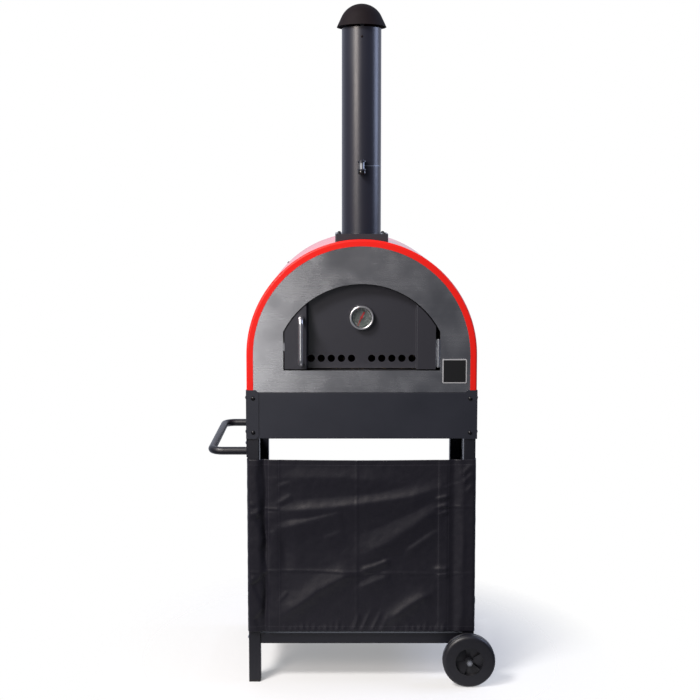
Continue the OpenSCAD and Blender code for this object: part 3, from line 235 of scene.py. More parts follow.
# Slack between the legs: depth, then X, width and depth of the gully at each leg and of a pocket at the left;
# the left gully wavers
slack = .0040
left_gully_x, left_gully_w, left_gully, left_gully_waver = -.2475, .0090, .0085, .003
right_gully_x, right_gully_w, right_gully = .2345, .008, .0018
pocket_x, pocket_z, pocket_w, pocket_h, pocket = -.193, .345, .016, .055, .0050
# Cloth puffed over the left leg, with Z and X of its edge, and a low ridge over the right leg
puff_z = [.130, .167, .193, .259, .289, .350, .375, .426, .447, .538, .582]
puff_x = [-.262, -.273, -.250, -.278, -.240, -.258, -.246, -.268, -.256, -.263, -.258]
puff_h, puff_edge, puff_from, puff_ramp = .0050, .0022, -.2905, .006
ridge_x, ridge_w, ridge_h, ridge_waver = .252, .0090, .0016, .004


def step_up(value, width):
    """A smooth step from 0 to 1 round value = 0."""
    return 1 / (1 + np.exp(np.clip(-value / width, -40, 40)))


def bell(value, width):
    """A smooth bump of height 1 round value = 0."""
    return np.exp(-(value / width) ** 2)


def crest_lift(x, z, line, height, above, below):
    """Height of one fold: steep above its crest and easier below, dying away at its ends."""
    gap, under, along, run = np.full_like(x, np.inf), np.zeros_like(x), np.zeros_like(x), 0.0
    spans = [(a, b, math.dist(a, b)) for a, b in zip(line, line[1:])]
    total = sum(length for _, _, length in spans)
    for (ax, az), (bx, bz), length in spans:
        dx, dz = (bx - ax) / length, (bz - az) / length
        t = np.clip((x - ax) * dx + (z - az) * dz, 0, length)
        here = np.hypot(x - ax - t * dx, z - az - t * dz)
        nearer = here < gap
        gap = np.where(nearer, here, gap)
        under = np.where(nearer, (x - ax) * dz - (z - az) * dx, under)
        along = np.where(nearer, (run + t) / total, along)
        run += length
    ends = np.clip(fold_end + 4 * np.minimum(along, 1 - along), 0, 1)
    return height * ends * np.exp(-(gap / np.where(under > 0, below, above)) ** fold_falloff)


def front_lift(x, z):
    """How far the front stands out from the legs' faces, at X from the middle and Z."""
    rise = z - cover_low.z
    up = rise / cover_h
    lift = np.zeros_like(x)
    for crest in crests:
        lift = np.maximum(lift, crest_lift(x, z, *crest))
    for foot, lean, length, height in gathers:
        tapered = np.clip(1 - rise / length, 0, 1) * np.clip(rise / stitched_h, fold_end, 1)
        lift += height * bell(x - foot - lean * rise, gather_w) * tapered
    upper = bell(z - upper_crease_z - upper_crease_slope * x, crease_w) * (np.abs(x) > upper_crease_from)
    lower = bell(z - lower_crease_z + lower_crease_waver * np.sin(9 * x), crease_w)
    lift += crease_h * (upper + lower) + upright_crease_h * bell(x - upright_crease_x, upright_crease_w)
    for begin, end in (seams[:2], seams[2:]):
        lift += doubled_h * (step_up(x - begin, doubled_edge) - step_up(x - end, doubled_edge))
    hollow = slack * 4 * up * (1 - up) ** 0.8
    gully = bell(x - left_gully_x + left_gully_waver * np.sin(47 * z), left_gully_w)
    hollow += left_gully * gully * (0.7 + 0.3 * np.cos(31 * z))
    hollow += pocket * bell(x - pocket_x, pocket_w) * bell(z - pocket_z, pocket_h)
    hollow += right_gully * bell(x - right_gully_x, right_gully_w)
    puff = puff_h * (1 - step_up(x - np.interp(z, puff_z, puff_x), puff_edge))
    puff *= np.clip((x - puff_from) / puff_ramp, 0, 1)
    puff += ridge_h * bell(x - ridge_x - ridge_waver * np.sin(40 * z), ridge_w)
    free = np.clip((free_half - np.abs(x)) / beside_leg, 0, 1)
    return np.where(free > 0, free * (lift - hollow), lift * over_leg) + puff


# Folds of a side: Z from the lower hem at the front leg, rise to the rear leg, height; and the hem's gathers
side_folds = ((0.10, 0.16, .0080), (0.22, 0.10, .0060), (0.33, -0.06, .0060), (0.28, 0.14, .0045))
side_above, side_below, side_slack, beside_side_leg = .012, .030, .0070, .03
side_gathers, side_gather_pitch, side_gather_from = 14, 0.024, 0.045
side_gather_w, side_gather_l, side_gather_h = .005, 0.022, 0.0024


def side_lift(y, z, hand):
    """How far a side stands out: slanting folds between the legs, as on the front but softer."""
    reach = (y - front_y) / (rear_y - front_y)
    rise = z - cover_low.z
    up = rise / cover_h
    lift = np.zeros_like(y)
    for start, slope, height in side_folds:
        under = cover_low.z + start + slope * reach + 0.012 * np.sin(5 * reach + hand) - z
        width = np.where(under > 0, side_below, side_above)
        lift = np.maximum(lift, height * np.exp(-(np.abs(under) / width) ** fold_falloff))
    for k in range(side_gathers):
        foot = front_y + side_gather_from + side_gather_pitch * k
        lift += side_gather_h * bell(y - foot, side_gather_w) * np.clip(1 - rise / side_gather_l, 0, 1)
    free = np.clip(np.minimum(y - front_y - leg_w, rear_y - leg_w - y) / beside_side_leg, 0, 1)
    return free * (lift - side_slack * 4 * up * (1 - up))


# The band's line on plan: straight runs joined by round turns at the four legs, with a column on every seam
corners = [
    (left_x + leg_w, rear_y), (left_x, rear_y), (left_x, front_y),
    (right_x, front_y), (right_x, rear_y), (right_x - leg_w, rear_y),
]
left_run, front_run, right_run, last_run, in_turn = 1, 2, 3, 4, -1
turn = 0.006
front_step, side_step = 0.003, 0.008
plan = []
for i in range(len(corners) - 1):
    a, b = Vector(corners[i]), Vector(corners[i + 1])
    way = (b - a).normalized()
    length = (b - a).length
    start, stop = (turn if i > 0 else 0.0), (length - turn if i < last_run else length)
    count = max(2, round((stop - start) / (front_step if i == front_run else side_step)))
    stops = [start + (stop - start) * k / count for k in range(count + 1)]
    if i == front_run:
        stops = [s for s in stops if min(abs(a.x + s - middle - seam) for seam in seams) > front_step / 2]
        stops = sorted(stops + [seam + middle - a.x for seam in seams])
    out = Vector((way.y, -way.x))
    plan += [(a + way * s, out, i) for s in stops]
    if i < last_run:
        after = (Vector(corners[i + 2]) - b).normalized()
        next_out = Vector((after.y, -after.x))
        centre = b - way * turn + after * turn
        for swung in (math.radians(30), math.radians(60)):
            swing = out * math.cos(swung) + next_out * math.sin(swung)
            plan.append((centre + swing * turn, swing, in_turn))
runs = [0.0]
for (a, _, _), (b, _, _) in zip(plan, plan[1:]):
    runs.append(runs[-1] + (b - a).length)
rows = 151
levels = np.linspace(cover_low.z, cover_high.z, rows)
levels[np.abs(levels - cover_low.z - hem).argmin()] = cover_low.z + hem
levels[np.abs(levels - cover_high.z + hem).argmin()] = cover_high.z - hem

# The cloth stands off that line by its folds, slanting dents of about 20 mm and finer ones of about 7 mm;
# its upper edge sags between the front legs
sag_depth, sag_span = 0.0026, 0.58
crumple_h, fine_crumple_h = 0.0005, 0.0002
spots = np.array([(p.x, p.y, o.x, o.y) for p, o, _ in plan])
run_of = np.array([run for _, _, run in plan])
x_grid = np.repeat(spots[:, 0:1] - middle, rows, axis=1)
y_grid = np.repeat(spots[:, 1:2], rows, axis=1)
z_grid = np.repeat(levels[None, :], len(plan), axis=0)
on_front = run_of[:, None] == front_run
lifts = np.where(on_front, front_lift(x_grid, z_grid), 0.0)
lifts = np.where(run_of[:, None] == left_run, side_lift(y_grid, z_grid, -1), lifts)
lifts = np.where(run_of[:, None] == right_run, side_lift(y_grid, z_grid, 1), lifts)
sag = -sag_depth * np.cos(np.pi * x_grid / sag_span) * ((z_grid - cover_low.z) / cover_h) ** 4
sag = np.where(on_front, sag, 0.0)
cover_points = []
for i, (px, py, ox, oy) in enumerate(spots):
    for j, z in enumerate(levels):
        crumple = crumple_h * noise.noise((px * 45 + z * 22, z * 50 - px * 24 + py * 30, 7.7 + py * 25))
        crumple += fine_crumple_h * noise.noise((px * 140 + py * 90, z * 120, 1.3))
        lift = lifts[i, j] + crumple
        cover_points.append((px + ox * lift, py + oy * lift, z + sag[i, j]))
faces = []
for i in range(len(plan) - 1):
    for j in range(rows - 1):
        a = i * rows + j
        faces.append((a, a + rows, a + rows + 1, a + 1))
mesh = bpy.data.meshes.new("cover")
mesh.from_pydata(cover_points, [], faces)

# Two UV maps for the cloth's pattern: its place on the flat band, and its distance from a seam and from a hem
far_off = 0.02
band_uv = mesh.uv_layers.new(name="band")
seam_uv = mesh.uv_layers.new(name="seams")
for loop in mesh.loops:
    i, j = divmod(loop.vertex_index, rows)
    x, z = spots[i, 0] - middle, levels[j]
    to_seam = min(abs(x - seam) for seam in seams) if run_of[i] == front_run else far_off
    to_hem = min(abs(z - cover_low.z - hem), abs(cover_high.z - hem - z))
    band_uv.data[loop.index].uv = (runs[i], z - cover_low.z)
    seam_uv.data[loop.index].uv = (min(to_seam, far_off), min(to_hem, far_off))
cover = bpy.data.objects.new("cover", mesh)
bpy.context.scene.collection.objects.link(cover)
bpy.context.view_layer.objects.active = cover
cover.select_set(True)
bpy.ops.object.shade_smooth()
soften = cover.modifiers.new("soft creases", "SMOOTH")
soften.factor, soften.iterations = 0.5, 2
bpy.ops.object.modifier_apply(modifier=soften.name)
thick = cover.modifiers.new("cloth thickness", "SOLIDIFY")
thick.thickness, thick.offset = cloth_t, 0.0
bpy.ops.object.modifier_apply(modifier=thick.name)
cover.select_set(False)

# Nylon Oxford cloth: a plain weave with a rubbery coat, so it is dark, with a soft gloss along each fold.
# Threads are about 0.5 mm apart; the weave is drawn at 1.6 mm so that it shows. Stitches are 4 mm apart.
# The coat's gloss varies over about 14 mm.
threads_per_m, stitches_per_m = 625.0, 250.0
stitch_half_w, stitch_share = 0.0007, 0.68
nylon, tree, shader, place = new_finish("coated nylon Oxford cloth", "#17161e", 0.45)
shader.inputs["Specular IOR Level"].default_value = 0.32
thread = add_node(tree, "ShaderNodeUVMap", uv_map="band")
grid = add_node(tree, "ShaderNodeMapping", {"Scale": (threads_per_m, threads_per_m, 1.0)}, {"Vector": (thread, "UV")})
weave = add_node(tree, "ShaderNodeTexChecker", {"Scale": 1.0}, {"Vector": (grid, "Vector")})
slub = add_node(tree, "ShaderNodeTexNoise", {"Scale": 70.0, "Detail": 5.0}, {"Vector": (place, "Object")})
gloss = add_node(tree, "ShaderNodeMapRange", {"To Min": 0.40, "To Max": 0.50}, {"Value": (slub, "Fac")})
shade = add_node(tree, "ShaderNodeMix", {"A": linear("#16151d"), "B": linear("#191820")},
                 {"Factor": (slub, "Fac")}, data_type="RGBA")
# Stitches: dashes on the seams run up the cloth, and those on the hems run along it
near = add_node(tree, "ShaderNodeUVMap", uv_map="seams")
gaps = add_node(tree, "ShaderNodeSeparateXYZ", {}, {"Vector": (near, "UV")})
spread = add_node(tree, "ShaderNodeSeparateXYZ", {}, {"Vector": (thread, "UV")})
stitches = []
for gap, run in (("X", "Y"), ("Y", "X")):
    line = add_node(tree, "ShaderNodeMath", {1: stitch_half_w}, {0: (gaps, gap)}, operation="LESS_THAN")
    pitch = add_node(tree, "ShaderNodeMath", {1: stitches_per_m}, {0: (spread, run)}, operation="MULTIPLY")
    part_way = add_node(tree, "ShaderNodeMath", {}, {0: (pitch, "Value")}, operation="FRACT")
    dash = add_node(tree, "ShaderNodeMath", {1: stitch_share}, {0: (part_way, "Value")}, operation="LESS_THAN")
    stitches.append(add_node(tree, "ShaderNodeMath", {}, {0: (line, "Value"), 1: (dash, "Value")},
                             operation="MULTIPLY"))
stitch = add_node(tree, "ShaderNodeMath", {}, {0: (stitches[0], "Value"), 1: (stitches[1], "Value")},
                  operation="MAXIMUM")
sewn = add_node(tree, "ShaderNodeMix", {"B": linear("#2b2a31")},
                {"Factor": (stitch, "Value"), "A": (shade, "Result")}, data_type="RGBA")
raised = add_node(tree, "ShaderNodeMath", {1: 0.22}, {0: (weave, "Fac")}, operation="MULTIPLY")
rough_face = add_node(tree, "ShaderNodeMath", {}, {0: (raised, "Value"), 1: (slub, "Fac")}, operation="ADD")
height = add_node(tree, "ShaderNodeMath", {1: 1.6}, {0: (stitch, "Value"), 2: (rough_face, "Value")},
                  operation="MULTIPLY_ADD")
bumps = add_node(tree, "ShaderNodeBump", {"Strength": 0.25, "Distance": 0.0005}, {"Height": (height, "Value")})
feed(tree, shader, {"Base Color": (sewn, "Result"), "Roughness": (gloss, "Result"), "Normal": (bumps, "Normal")})
cover.data.materials.append(nylon)
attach(cover, "oven_and_stand")
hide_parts("fabric_cover")

# Baking stones: two slabs of fired clay that lie side by side on the floor board.
# Clay is pale and grainy, clouded over about 55 mm, with pits of about 4.5 mm.
fire_clay, tree, shader, place = new_finish("fired clay", "#c8b18c", 0.85)
pits = add_node(tree, "ShaderNodeTexVoronoi", {"Scale": 220.0}, {"Vector": (place, "Object")})
clouds = add_node(tree, "ShaderNodeTexNoise", {"Scale": 18.0, "Detail": 6.0}, {"Vector": (place, "Object")})
baked = add_node(tree, "ShaderNodeMix", {"A": linear("#a98f6a"), "B": linear("#d6c4a4")},
                 {"Factor": (clouds, "Fac")}, data_type="RGBA")
bumps = add_node(tree, "ShaderNodeBump", {"Strength": 0.3, "Distance": 0.0006}, {"Height": (pits, "Distance")})
feed(tree, shader, {"Base Color": (baked, "Result"), "Normal": (bumps, "Normal")})
dress(fire_clay, "baking_stone_left", "baking_stone_right")

# Floor board and insulation: a pressed fibre board under the stones, and a blanket wrapped round the chamber.
# Ceramic fibre is off-white and woolly, with tufts of about 7 mm.
fibre, tree, shader, place = new_finish("ceramic fibre", "#e4e0d4", 0.95)
wool = add_node(tree, "ShaderNodeTexNoise", {"Scale": 150.0, "Detail": 8.0}, {"Vector": (place, "Object")})
bumps = add_node(tree, "ShaderNodeBump", {"Strength": 0.6, "Distance": 0.002}, {"Height": (wool, "Fac")})
feed(tree, shader, {"Normal": (bumps, "Normal")})
dress(fibre, "floor_board", "insulation_blanket")

# Inner chamber: an arch of bent sheet steel over the stones.
# Fire has tinted it grey and brown, in stains about 40 mm wide.
lining, tree, shader, place = new_finish("heat-tinted steel", "#3b3835", 0.5, 0.8)
stains = add_node(tree, "ShaderNodeTexNoise", {"Scale": 25.0, "Detail": 7.0}, {"Vector": (place, "Object")})
tinted = add_node(tree, "ShaderNodeMix", {"A": linear("#221f1d"), "B": linear("#4a4541")},
                  {"Factor": (stains, "Fac")}, data_type="RGBA")
feed(tree, shader, {"Base Color": (tinted, "Result")})
dress(lining, "inner_chamber")

# Shell: one sheet bent over the arch, its front edge rolled round and turned in as a band.
# Stove enamel is baked on: deep red, glossy on the sheet and satin on the worked band.
# Its reflections waver slowly, over about 110 mm.
shell_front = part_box("outer_shell")[0].y
band_end, sheet_from = shell_front + 0.020, shell_front + 0.032
enamel, tree, shader, place = new_finish("red stove enamel", "#d21810", 0.16)
shader.inputs["Specular IOR Level"].default_value = 0.25
waves = add_node(tree, "ShaderNodeTexNoise", {"Scale": 9.0, "Detail": 2.0}, {"Vector": (place, "Object")})
tone = add_node(tree, "ShaderNodeMix", {"A": linear("#cc160e"), "B": linear("#d81a11")},
                {"Factor": (waves, "Fac")}, data_type="RGBA")
along = add_node(tree, "ShaderNodeSeparateXYZ", {}, {"Vector": (place, "Object")})
rolled = add_node(tree, "ShaderNodeMapRange",
                  {"From Min": band_end, "From Max": sheet_from, "To Min": 0.45, "To Max": 0.16},
                  {"Value": (along, "Y")})
bumps = add_node(tree, "ShaderNodeBump", {"Strength": 0.05, "Distance": 0.002}, {"Height": (waves, "Fac")})
feed(tree, shader, {"Base Color": (tone, "Result"), "Roughness": (rolled, "Result"), "Normal": (bumps, "Normal")})
dress(enamel, "outer_shell")

# Rear closing strip: a flat strip of sheet steel under the back panel, tacked to the base pan's edge.
# It has the aprons' powder coat and hides the end of the insulation.
pan_low, pan_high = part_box("oven_base")
back_low, back_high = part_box("back_panel")
strip_t, strip_side_gap, strip_top_gap, strip_edge = 0.0010, 0.0008, 0.0005, 0.0003
strip_w = pan_high.x - pan_low.x - 2 * strip_side_gap
strip_h = back_low.z - pan_low.z - 2 * strip_top_gap
bpy.ops.mesh.primitive_cube_add(size=1.0, location=(0.0, 0.0, 0.0))
strip = bpy.context.active_object
strip.name = "rear_closing_strip"
bpy.ops.object.mode_set(mode="EDIT")
bpy.ops.mesh.select_all(action="SELECT")
bpy.ops.transform.resize(value=(strip_w, strip_t, strip_h))
bpy.ops.transform.translate(value=(
    (pan_low.x + pan_high.x) / 2, back_high.y - strip_t / 2, (pan_low.z + back_low.z) / 2))
bpy.ops.object.mode_set(mode="OBJECT")
rounded = strip.modifiers.new("rolled edges", "BEVEL")
rounded.width, rounded.segments = strip_edge, 2
bpy.ops.object.modifier_apply(modifier=rounded.name)
strip.select_set(False)
strip.data.materials.append(powder_coat)
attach(strip, "oven_and_stand")

# Front plate and door jamb: laser-cut and folded stainless sheet with a brushed face.
# Brushing runs across the oven, lines about 0.3 mm apart, drawn at 1 mm, so highlights spread up and down.
# Heat and wiping have clouded it over about 80 mm.
stainless, tree, shader, place = new_finish("brushed stainless steel", "#c4c3c4", 0.3, 1.0)
stroke = add_node(tree, "ShaderNodeMapping", {"Scale": (6.0, 6.0, 900.0)}, {"Vector": (place, "Object")})
lines = add_node(tree, "ShaderNodeTexNoise", {"Scale": 1.0, "Detail": 3.0}, {"Vector": (stroke, "Vector")})
cloud = add_node(tree, "ShaderNodeTexNoise", {"Scale": 12.0, "Detail": 2.0, "Distortion": 0.3},
                 {"Vector": (place, "Object")})
smoky = add_node(tree, "ShaderNodeMapRange", {"From Min": 0.3, "From Max": 0.7}, {"Value": (cloud, "Fac")})
worn = add_node(tree, "ShaderNodeMapRange", {"To Min": 0.19, "To Max": 0.25}, {"Value": (smoky, "Result")})
brushed = add_node(tree, "ShaderNodeMath", {1: 0.08}, {0: (lines, "Fac"), 2: (worn, "Result")},
                   operation="MULTIPLY_ADD")
steel = add_node(tree, "ShaderNodeMix", {"A": linear("#b9b8ba"), "B": linear("#d3d2d4")},
                 {"Factor": (smoky, "Result")}, data_type="RGBA")
bumps = add_node(tree, "ShaderNodeBump", {"Strength": 0.08, "Distance": 0.0002}, {"Height": (lines, "Fac")})
feed(tree, shader, {"Base Color": (steel, "Result"), "Roughness": (brushed, "Value"), "Normal": (bumps, "Normal")})
dress(stainless, "front_plate", "door_jamb")

# Badge: a small bare plate with a raised border, bonded to the front plate.
# Its field is lacquered black, with an etched grain drawn at 1.3 mm; the border is rubbed back to bright steel.
badge_low, badge_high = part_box("badge_plate")
border_w = 0.0025
field_half = (badge_high.x - badge_low.x) / 2 - border_w
lacquer, tree, shader, place = new_finish("black lacquer on bright steel", "#151517", 0.34)
etch = add_node(tree, "ShaderNodeTexNoise", {"Scale": 800.0, "Detail": 2.0}, {"Vector": (place, "Object")})
inward = add_node(tree, "ShaderNodeVectorMath", {1: tuple((badge_low + badge_high) / 2)},
                  {0: (place, "Object")}, operation="SUBTRACT")
either = add_node(tree, "ShaderNodeVectorMath", {}, {0: (inward, "Vector")}, operation="ABSOLUTE")
reach = add_node(tree, "ShaderNodeSeparateXYZ", {}, {"Vector": (either, "Vector")})
further = add_node(tree, "ShaderNodeMath", {}, {0: (reach, "X"), 1: (reach, "Z")}, operation="MAXIMUM")
border = add_node(tree, "ShaderNodeMath", {1: field_half}, {0: (further, "Value")}, operation="GREATER_THAN")
faced = add_node(tree, "ShaderNodeMix", {"A": linear("#151517"), "B": linear("#eaeaec")},
                 {"Factor": (border, "Value")}, data_type="RGBA")
rubbed = add_node(tree, "ShaderNodeMapRange", {"To Min": 0.34, "To Max": 0.5}, {"Value": (border, "Value")})
bumps = add_node(tree, "ShaderNodeBump", {"Strength": 0.1, "Distance": 0.0002}, {"Height": (etch, "Fac")})
feed(tree, shader, {"Base Color": (faced, "Result"), "Roughness": (rubbed, "Result"),
                    "Metallic": (border, "Value"), "Normal": (bumps, "Normal")})
dress(lacquer, "badge_plate")

# Door panel and flue collar: a folded sheet hung on its hinge, and a square hood screwed to the shell.
# Silicone stove paint is a dry charcoal black with a soft sheen, which drifts over about 125 mm.
# Its grit is about 0.2 mm and is drawn at 1.7 mm so that it shows.
stove_paint, tree, shader, place = new_finish("silicone stove paint", "#2b2b31", 0.34)
grit = add_node(tree, "ShaderNodeTexNoise", {"Scale": 600.0, "Detail": 2.0}, {"Vector": (place, "Object")})
drift = add_node(tree, "ShaderNodeTexNoise", {"Scale": 8.0, "Detail": 4.0}, {"Vector": (place, "Object")})
dry = add_node(tree, "ShaderNodeMapRange", {"To Min": 0.28, "To Max": 0.37}, {"Value": (drift, "Fac")})
bumps = add_node(tree, "ShaderNodeBump", {"Strength": 0.12, "Distance": 0.0003}, {"Height": (grit, "Fac")})
feed(tree, shader, {"Roughness": (dry, "Result"), "Normal": (bumps, "Normal")})
dress(stove_paint, "door_panel", "flue_collar")

# Door handle and thermometer case: a bent bar screwed to the door, and a pressed cup set in it.
# Both are polished stainless steel, a bright mirror with a haze that varies over about 8 mm.
polished, tree, shader, place = new_finish("polished stainless steel", "#dcdcde", 0.28, 1.0)
haze = add_node(tree, "ShaderNodeTexNoise", {"Scale": 120.0, "Detail": 4.0}, {"Vector": (place, "Object")})
buffed = add_node(tree, "ShaderNodeMapRange", {"To Min": 0.24, "To Max": 0.36}, {"Value": (haze, "Fac")})
feed(tree, shader, {"Roughness": (buffed, "Result")})
dress(polished, "door_handle", "thermometer_case")

# Thermometer dial: a printed grey disc in the case.
# Print is matt, with ink that varies over 2 mm; a short mark stands for 10 degrees and a long one for 50.
dial_low, dial_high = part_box("thermometer_dial")
mark_r, short_r, long_r = 0.023, 0.0205, 0.0185
short_marks, long_marks = 66.0, 13.2
lowest_mark = -0.0165
dial_print, tree, shader, place = new_finish("printed dial", "#66716f", 0.6)
ink = add_node(tree, "ShaderNodeTexNoise", {"Scale": 500.0, "Detail": 2.0}, {"Vector": (place, "Object")})
inked = add_node(tree, "ShaderNodeMix", {"A": linear("#5e6968"), "B": linear("#6e7977")},
                 {"Factor": (ink, "Fac")}, data_type="RGBA")
inward = add_node(tree, "ShaderNodeVectorMath", {1: tuple((dial_low + dial_high) / 2)},
                  {0: (place, "Object")}, operation="SUBTRACT")
flat = add_node(tree, "ShaderNodeVectorMath", {1: (1.0, 0.0, 1.0)}, {0: (inward, "Vector")}, operation="MULTIPLY")
radius = add_node(tree, "ShaderNodeVectorMath", {}, {0: (flat, "Vector")}, operation="LENGTH")
across = add_node(tree, "ShaderNodeSeparateXYZ", {}, {"Vector": (flat, "Vector")})
angle = add_node(tree, "ShaderNodeMath", {}, {0: (across, "X"), 1: (across, "Z")}, operation="ARCTAN2")
marks = []
for count, thin, from_r in ((short_marks, 0.13, short_r), (long_marks, 0.045, long_r)):
    turns = add_node(tree, "ShaderNodeMath", {1: count / (2 * math.pi), 2: 0.5}, {0: (angle, "Value")},
                     operation="MULTIPLY_ADD")
    within = add_node(tree, "ShaderNodeMath", {}, {0: (turns, "Value")}, operation="FRACT")
    line = add_node(tree, "ShaderNodeMath", {1: 0.5, 2: thin}, {0: (within, "Value")}, operation="COMPARE")
    ring = add_node(tree, "ShaderNodeMath", {1: (from_r + mark_r) / 2, 2: (mark_r - from_r) / 2},
                    {0: (radius, "Value")}, operation="COMPARE")
    marks.append(add_node(tree, "ShaderNodeMath", {}, {0: (line, "Value"), 1: (ring, "Value")},
                          operation="MULTIPLY"))
mark = add_node(tree, "ShaderNodeMath", {}, {0: (marks[0], "Value"), 1: (marks[1], "Value")}, operation="MAXIMUM")
foot = add_node(tree, "ShaderNodeMath", {1: lowest_mark}, {0: (across, "Z")}, operation="GREATER_THAN")
shown = add_node(tree, "ShaderNodeMath", {}, {0: (mark, "Value"), 1: (foot, "Value")}, operation="MULTIPLY")
printed = add_node(tree, "ShaderNodeMix", {"B": linear("#e4e6e2")},
                   {"Factor": (shown, "Value"), "A": (inked, "Result")}, data_type="RGBA")
feed(tree, shader, {"Base Color": (printed, "Result")})
dress(dial_print, "thermometer_dial")

# Thermometer needle: a thin pressed pointer on the coil's spindle.
# It is sprayed red, with a sheen that varies over 2.5 mm.
needle_red, tree, shader, place = new_finish("red needle paint", "#d8201a", 0.4)
spray = add_node(tree, "ShaderNodeTexNoise", {"Scale": 400.0, "Detail": 2.0}, {"Vector": (place, "Object")})
even = add_node(tree, "ShaderNodeMapRange", {"To Min": 0.35, "To Max": 0.45}, {"Value": (spray, "Fac")})
feed(tree, shader, {"Roughness": (even, "Result")})
dress(needle_red, "thermometer_needle")

# Thermometer lens: a pane of window glass held by the bezel.
# Wiping leaves smears about 11 mm wide.
glass, tree, shader, place = new_finish("window glass", "#ffffff", 0.03)
shader.inputs["Transmission Weight"].default_value = 1.0
shader.inputs["IOR"].default_value = 1.5
smears = add_node(tree, "ShaderNodeTexNoise", {"Scale": 90.0, "Detail": 3.0}, {"Vector": (place, "Object")})
wiped = add_node(tree, "ShaderNodeMapRange", {"To Min": 0.0, "To Max": 0.06}, {"Value": (smears, "Fac")})
feed(tree, shader, {"Roughness": (wiped, "Result")})
dress(glass, "thermometer_lens")

# Flue pipe, damper lugs and pivot, and cap straps: rolled and cut steel; the collar's spigot carries the pipe.
# They have the door's paint, baked by the smoke until it is darker and bluer, with grit of the same size.
flue_paint, tree, shader, place = new_finish("baked stove paint", "#1e1f29", 0.36)
grit = add_node(tree, "ShaderNodeTexNoise", {"Scale": 600.0, "Detail": 2.0}, {"Vector": (place, "Object")})
drift = add_node(tree, "ShaderNodeTexNoise", {"Scale": 8.0, "Detail": 4.0}, {"Vector": (place, "Object")})
dry = add_node(tree, "ShaderNodeMapRange", {"To Min": 0.31, "To Max": 0.4}, {"Value": (drift, "Fac")})
bumps = add_node(tree, "ShaderNodeBump", {"Strength": 0.12, "Distance": 0.0003}, {"Height": (grit, "Fac")})
feed(tree, shader, {"Roughness": (dry, "Result"), "Normal": (bumps, "Normal")})
dress(flue_paint, "flue_pipe", "damper_lugs", "damper_pivot", "cap_straps")

# Damper knob: a round-edged button of black phenolic plastic on the pivot's lower end.
# Phenolic is polished after moulding, so it is the one glossy black piece, rubbed dull in spots of about 5 mm.
phenolic, tree, shader, place = new_finish("black phenolic", "#0d0d0e", 0.2)
dulled = add_node(tree, "ShaderNodeTexNoise", {"Scale": 200.0, "Detail": 3.0}, {"Vector": (place, "Object")})
shine = add_node(tree, "ShaderNodeMapRange", {"To Min": 0.14, "To Max": 0.3}, {"Value": (dulled, "Fac")})
feed(tree, shader, {"Roughness": (shine, "Result")})
dress(phenolic, "damper_knob")

# Rain cap and rivets: a spun steel dome on three straps, which the rivets fix to the pipe.
# Sun and smoke have left its paint dry, dark and brownish, with soot in patches of about 25 mm.
cap_paint, tree, shader, place = new_finish("weathered stove paint", "#100a0d", 0.75)
shader.inputs["Specular IOR Level"].default_value = 0.15
soot = add_node(tree, "ShaderNodeTexNoise", {"Scale": 40.0, "Detail": 5.0}, {"Vector": (place, "Object")})
browned = add_node(tree, "ShaderNodeMix", {"A": linear("#0e080b"), "B": linear("#130c10")},
                   {"Factor": (soot, "Fac")}, data_type="RGBA")
bumps = add_node(tree, "ShaderNodeBump", {"Strength": 0.12, "Distance": 0.0004}, {"Height": (soot, "Fac")})
feed(tree, shader, {"Base Color": (browned, "Result"), "Normal": (bumps, "Normal")})
dress(cap_paint, "flue_cap", "cap_rivets")

# Studio: a pale floor that fades into a white backdrop, and soft light mostly from the upper left.
# The room in front is dim, so that black paint stays black and the lamps draw clear highlights on it.
floor_r, fade_from, fade_to, floor_alpha = 0.8, 0.36, 0.72, 0.7
bpy.ops.mesh.primitive_circle_add(vertices=96, radius=floor_r, fill_type="NGON", location=(0, 0, 0))
floor = bpy.context.active_object
floor.name = "studio_floor"
floor_paint, tree, shader, place = new_finish("white studio floor", "#e2e2e2", 0.9)
shader.inputs["Specular IOR Level"].default_value = 0.1
away = add_node(tree, "ShaderNodeVectorMath", {}, {0: (place, "Object")}, operation="LENGTH")
fade = add_node(tree, "ShaderNodeMapRange",
                {"From Min": fade_from, "From Max": fade_to, "To Min": floor_alpha, "To Max": 0.0},
                {"Value": (away, "Value")})
feed(tree, shader, {"Alpha": (fade, "Result")})
floor.data.materials.append(floor_paint)

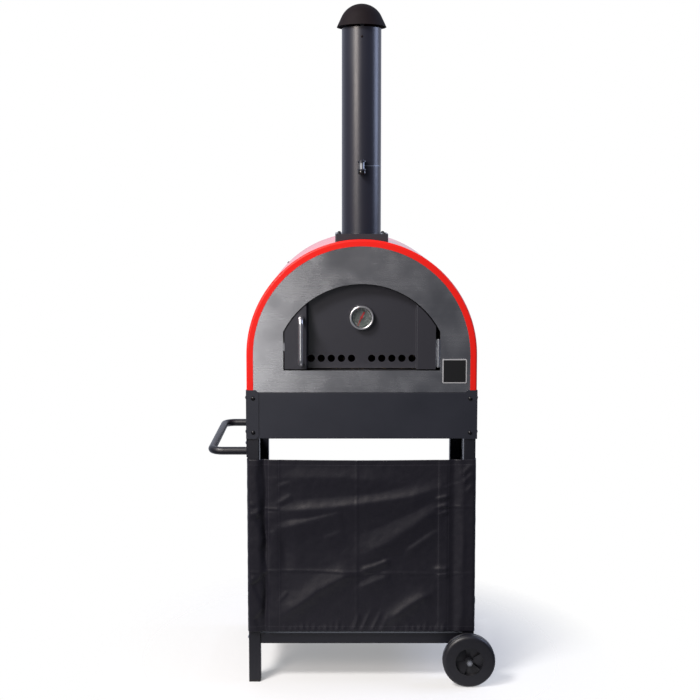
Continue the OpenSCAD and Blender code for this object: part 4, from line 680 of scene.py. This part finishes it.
front_light, rear_light = 0.11, 1.0
world = bpy.data.worlds.new("studio")
bpy.context.scene.world = world
world.use_nodes = True
tree = world.node_tree
room = tree.nodes["Background"]
room.inputs["Color"].default_value = linear("#e8eeff")
ray = add_node(tree, "ShaderNodeTexCoord")
facing = add_node(tree, "ShaderNodeSeparateXYZ", {}, {"Vector": (ray, "Generated")})
depth = add_node(tree, "ShaderNodeMapRange",
                 {"From Min": -0.1, "From Max": 0.9, "To Min": front_light, "To Max": rear_light},
                 {"Value": (facing, "Y")}, interpolation_type="SMOOTHSTEP")
feed(tree, room, {"Strength": (depth, "Result")})
backdrop = add_node(tree, "ShaderNodeBackground", {"Color": (1.0, 1.0, 1.0, 1.0), "Strength": 1.0})
seen = add_node(tree, "ShaderNodeLightPath")
both = add_node(tree, "ShaderNodeMixShader", {}, {
    "Fac": (seen, "Is Camera Ray"), 1: (room, "Background"), 2: (backdrop, "Background")})
feed(tree, tree.nodes["World Output"], {"Surface": (both, "Shader")})


def softbox(name, spot, target, width, height, power, colour):
    """An upright rectangle of light aimed at a point."""
    lamp = bpy.data.lights.new(name, "AREA")
    lamp.shape = "RECTANGLE"
    lamp.size, lamp.size_y = width, height
    lamp.energy = power
    lamp.color = linear(colour)[:3]
    holder = bpy.data.objects.new(name, lamp)
    bpy.context.scene.collection.objects.link(holder)
    holder.location = spot
    holder.rotation_euler = (Vector(target) - Vector(spot)).to_track_quat("-Z", "Y").to_euler()


softbox("key", (-1.75, -1.85, 3.2), (0, -0.1, 0.9), 0.8, 0.8, 150.0, "#fffcf9")
softbox("pipe strip", (-1.7, -2.8, 2.2), (0, -0.1, 1.4), 0.8, 1.3, 70.0, "#fff3ea")
softbox("left board", (-0.95, -3.3, 0.55), (-0.2, -0.2, 0.85), 0.9, 1.05, 5.6, "#ffffff")
softbox("right strip", (2.3, 0.05, 1.95), (0, -0.1, 1.35), 1.0, 1.5, 40.0, "#cbd8ff")

# Camera: it stands where the photograph was taken, about 3 m in front of the oven.
# It is tilted down a little, and its lens is shifted so that the oven fills the same part of the picture.
tilt_down = 5.06
camera = bpy.data.objects.new("camera", bpy.data.cameras.new("camera"))
bpy.context.scene.collection.objects.link(camera)
camera.data.sensor_width = 36.0
camera.data.lens = 61.26
camera.data.shift_x = 0.0127
camera.data.shift_y = -0.07
camera.location = (-0.026, -3.197, 1.246)
camera.rotation_euler = (math.radians(90 - tilt_down), 0.0, 0.0)
bpy.context.scene.camera = camera
bpy.context.scene.view_settings.view_transform = "Standard"
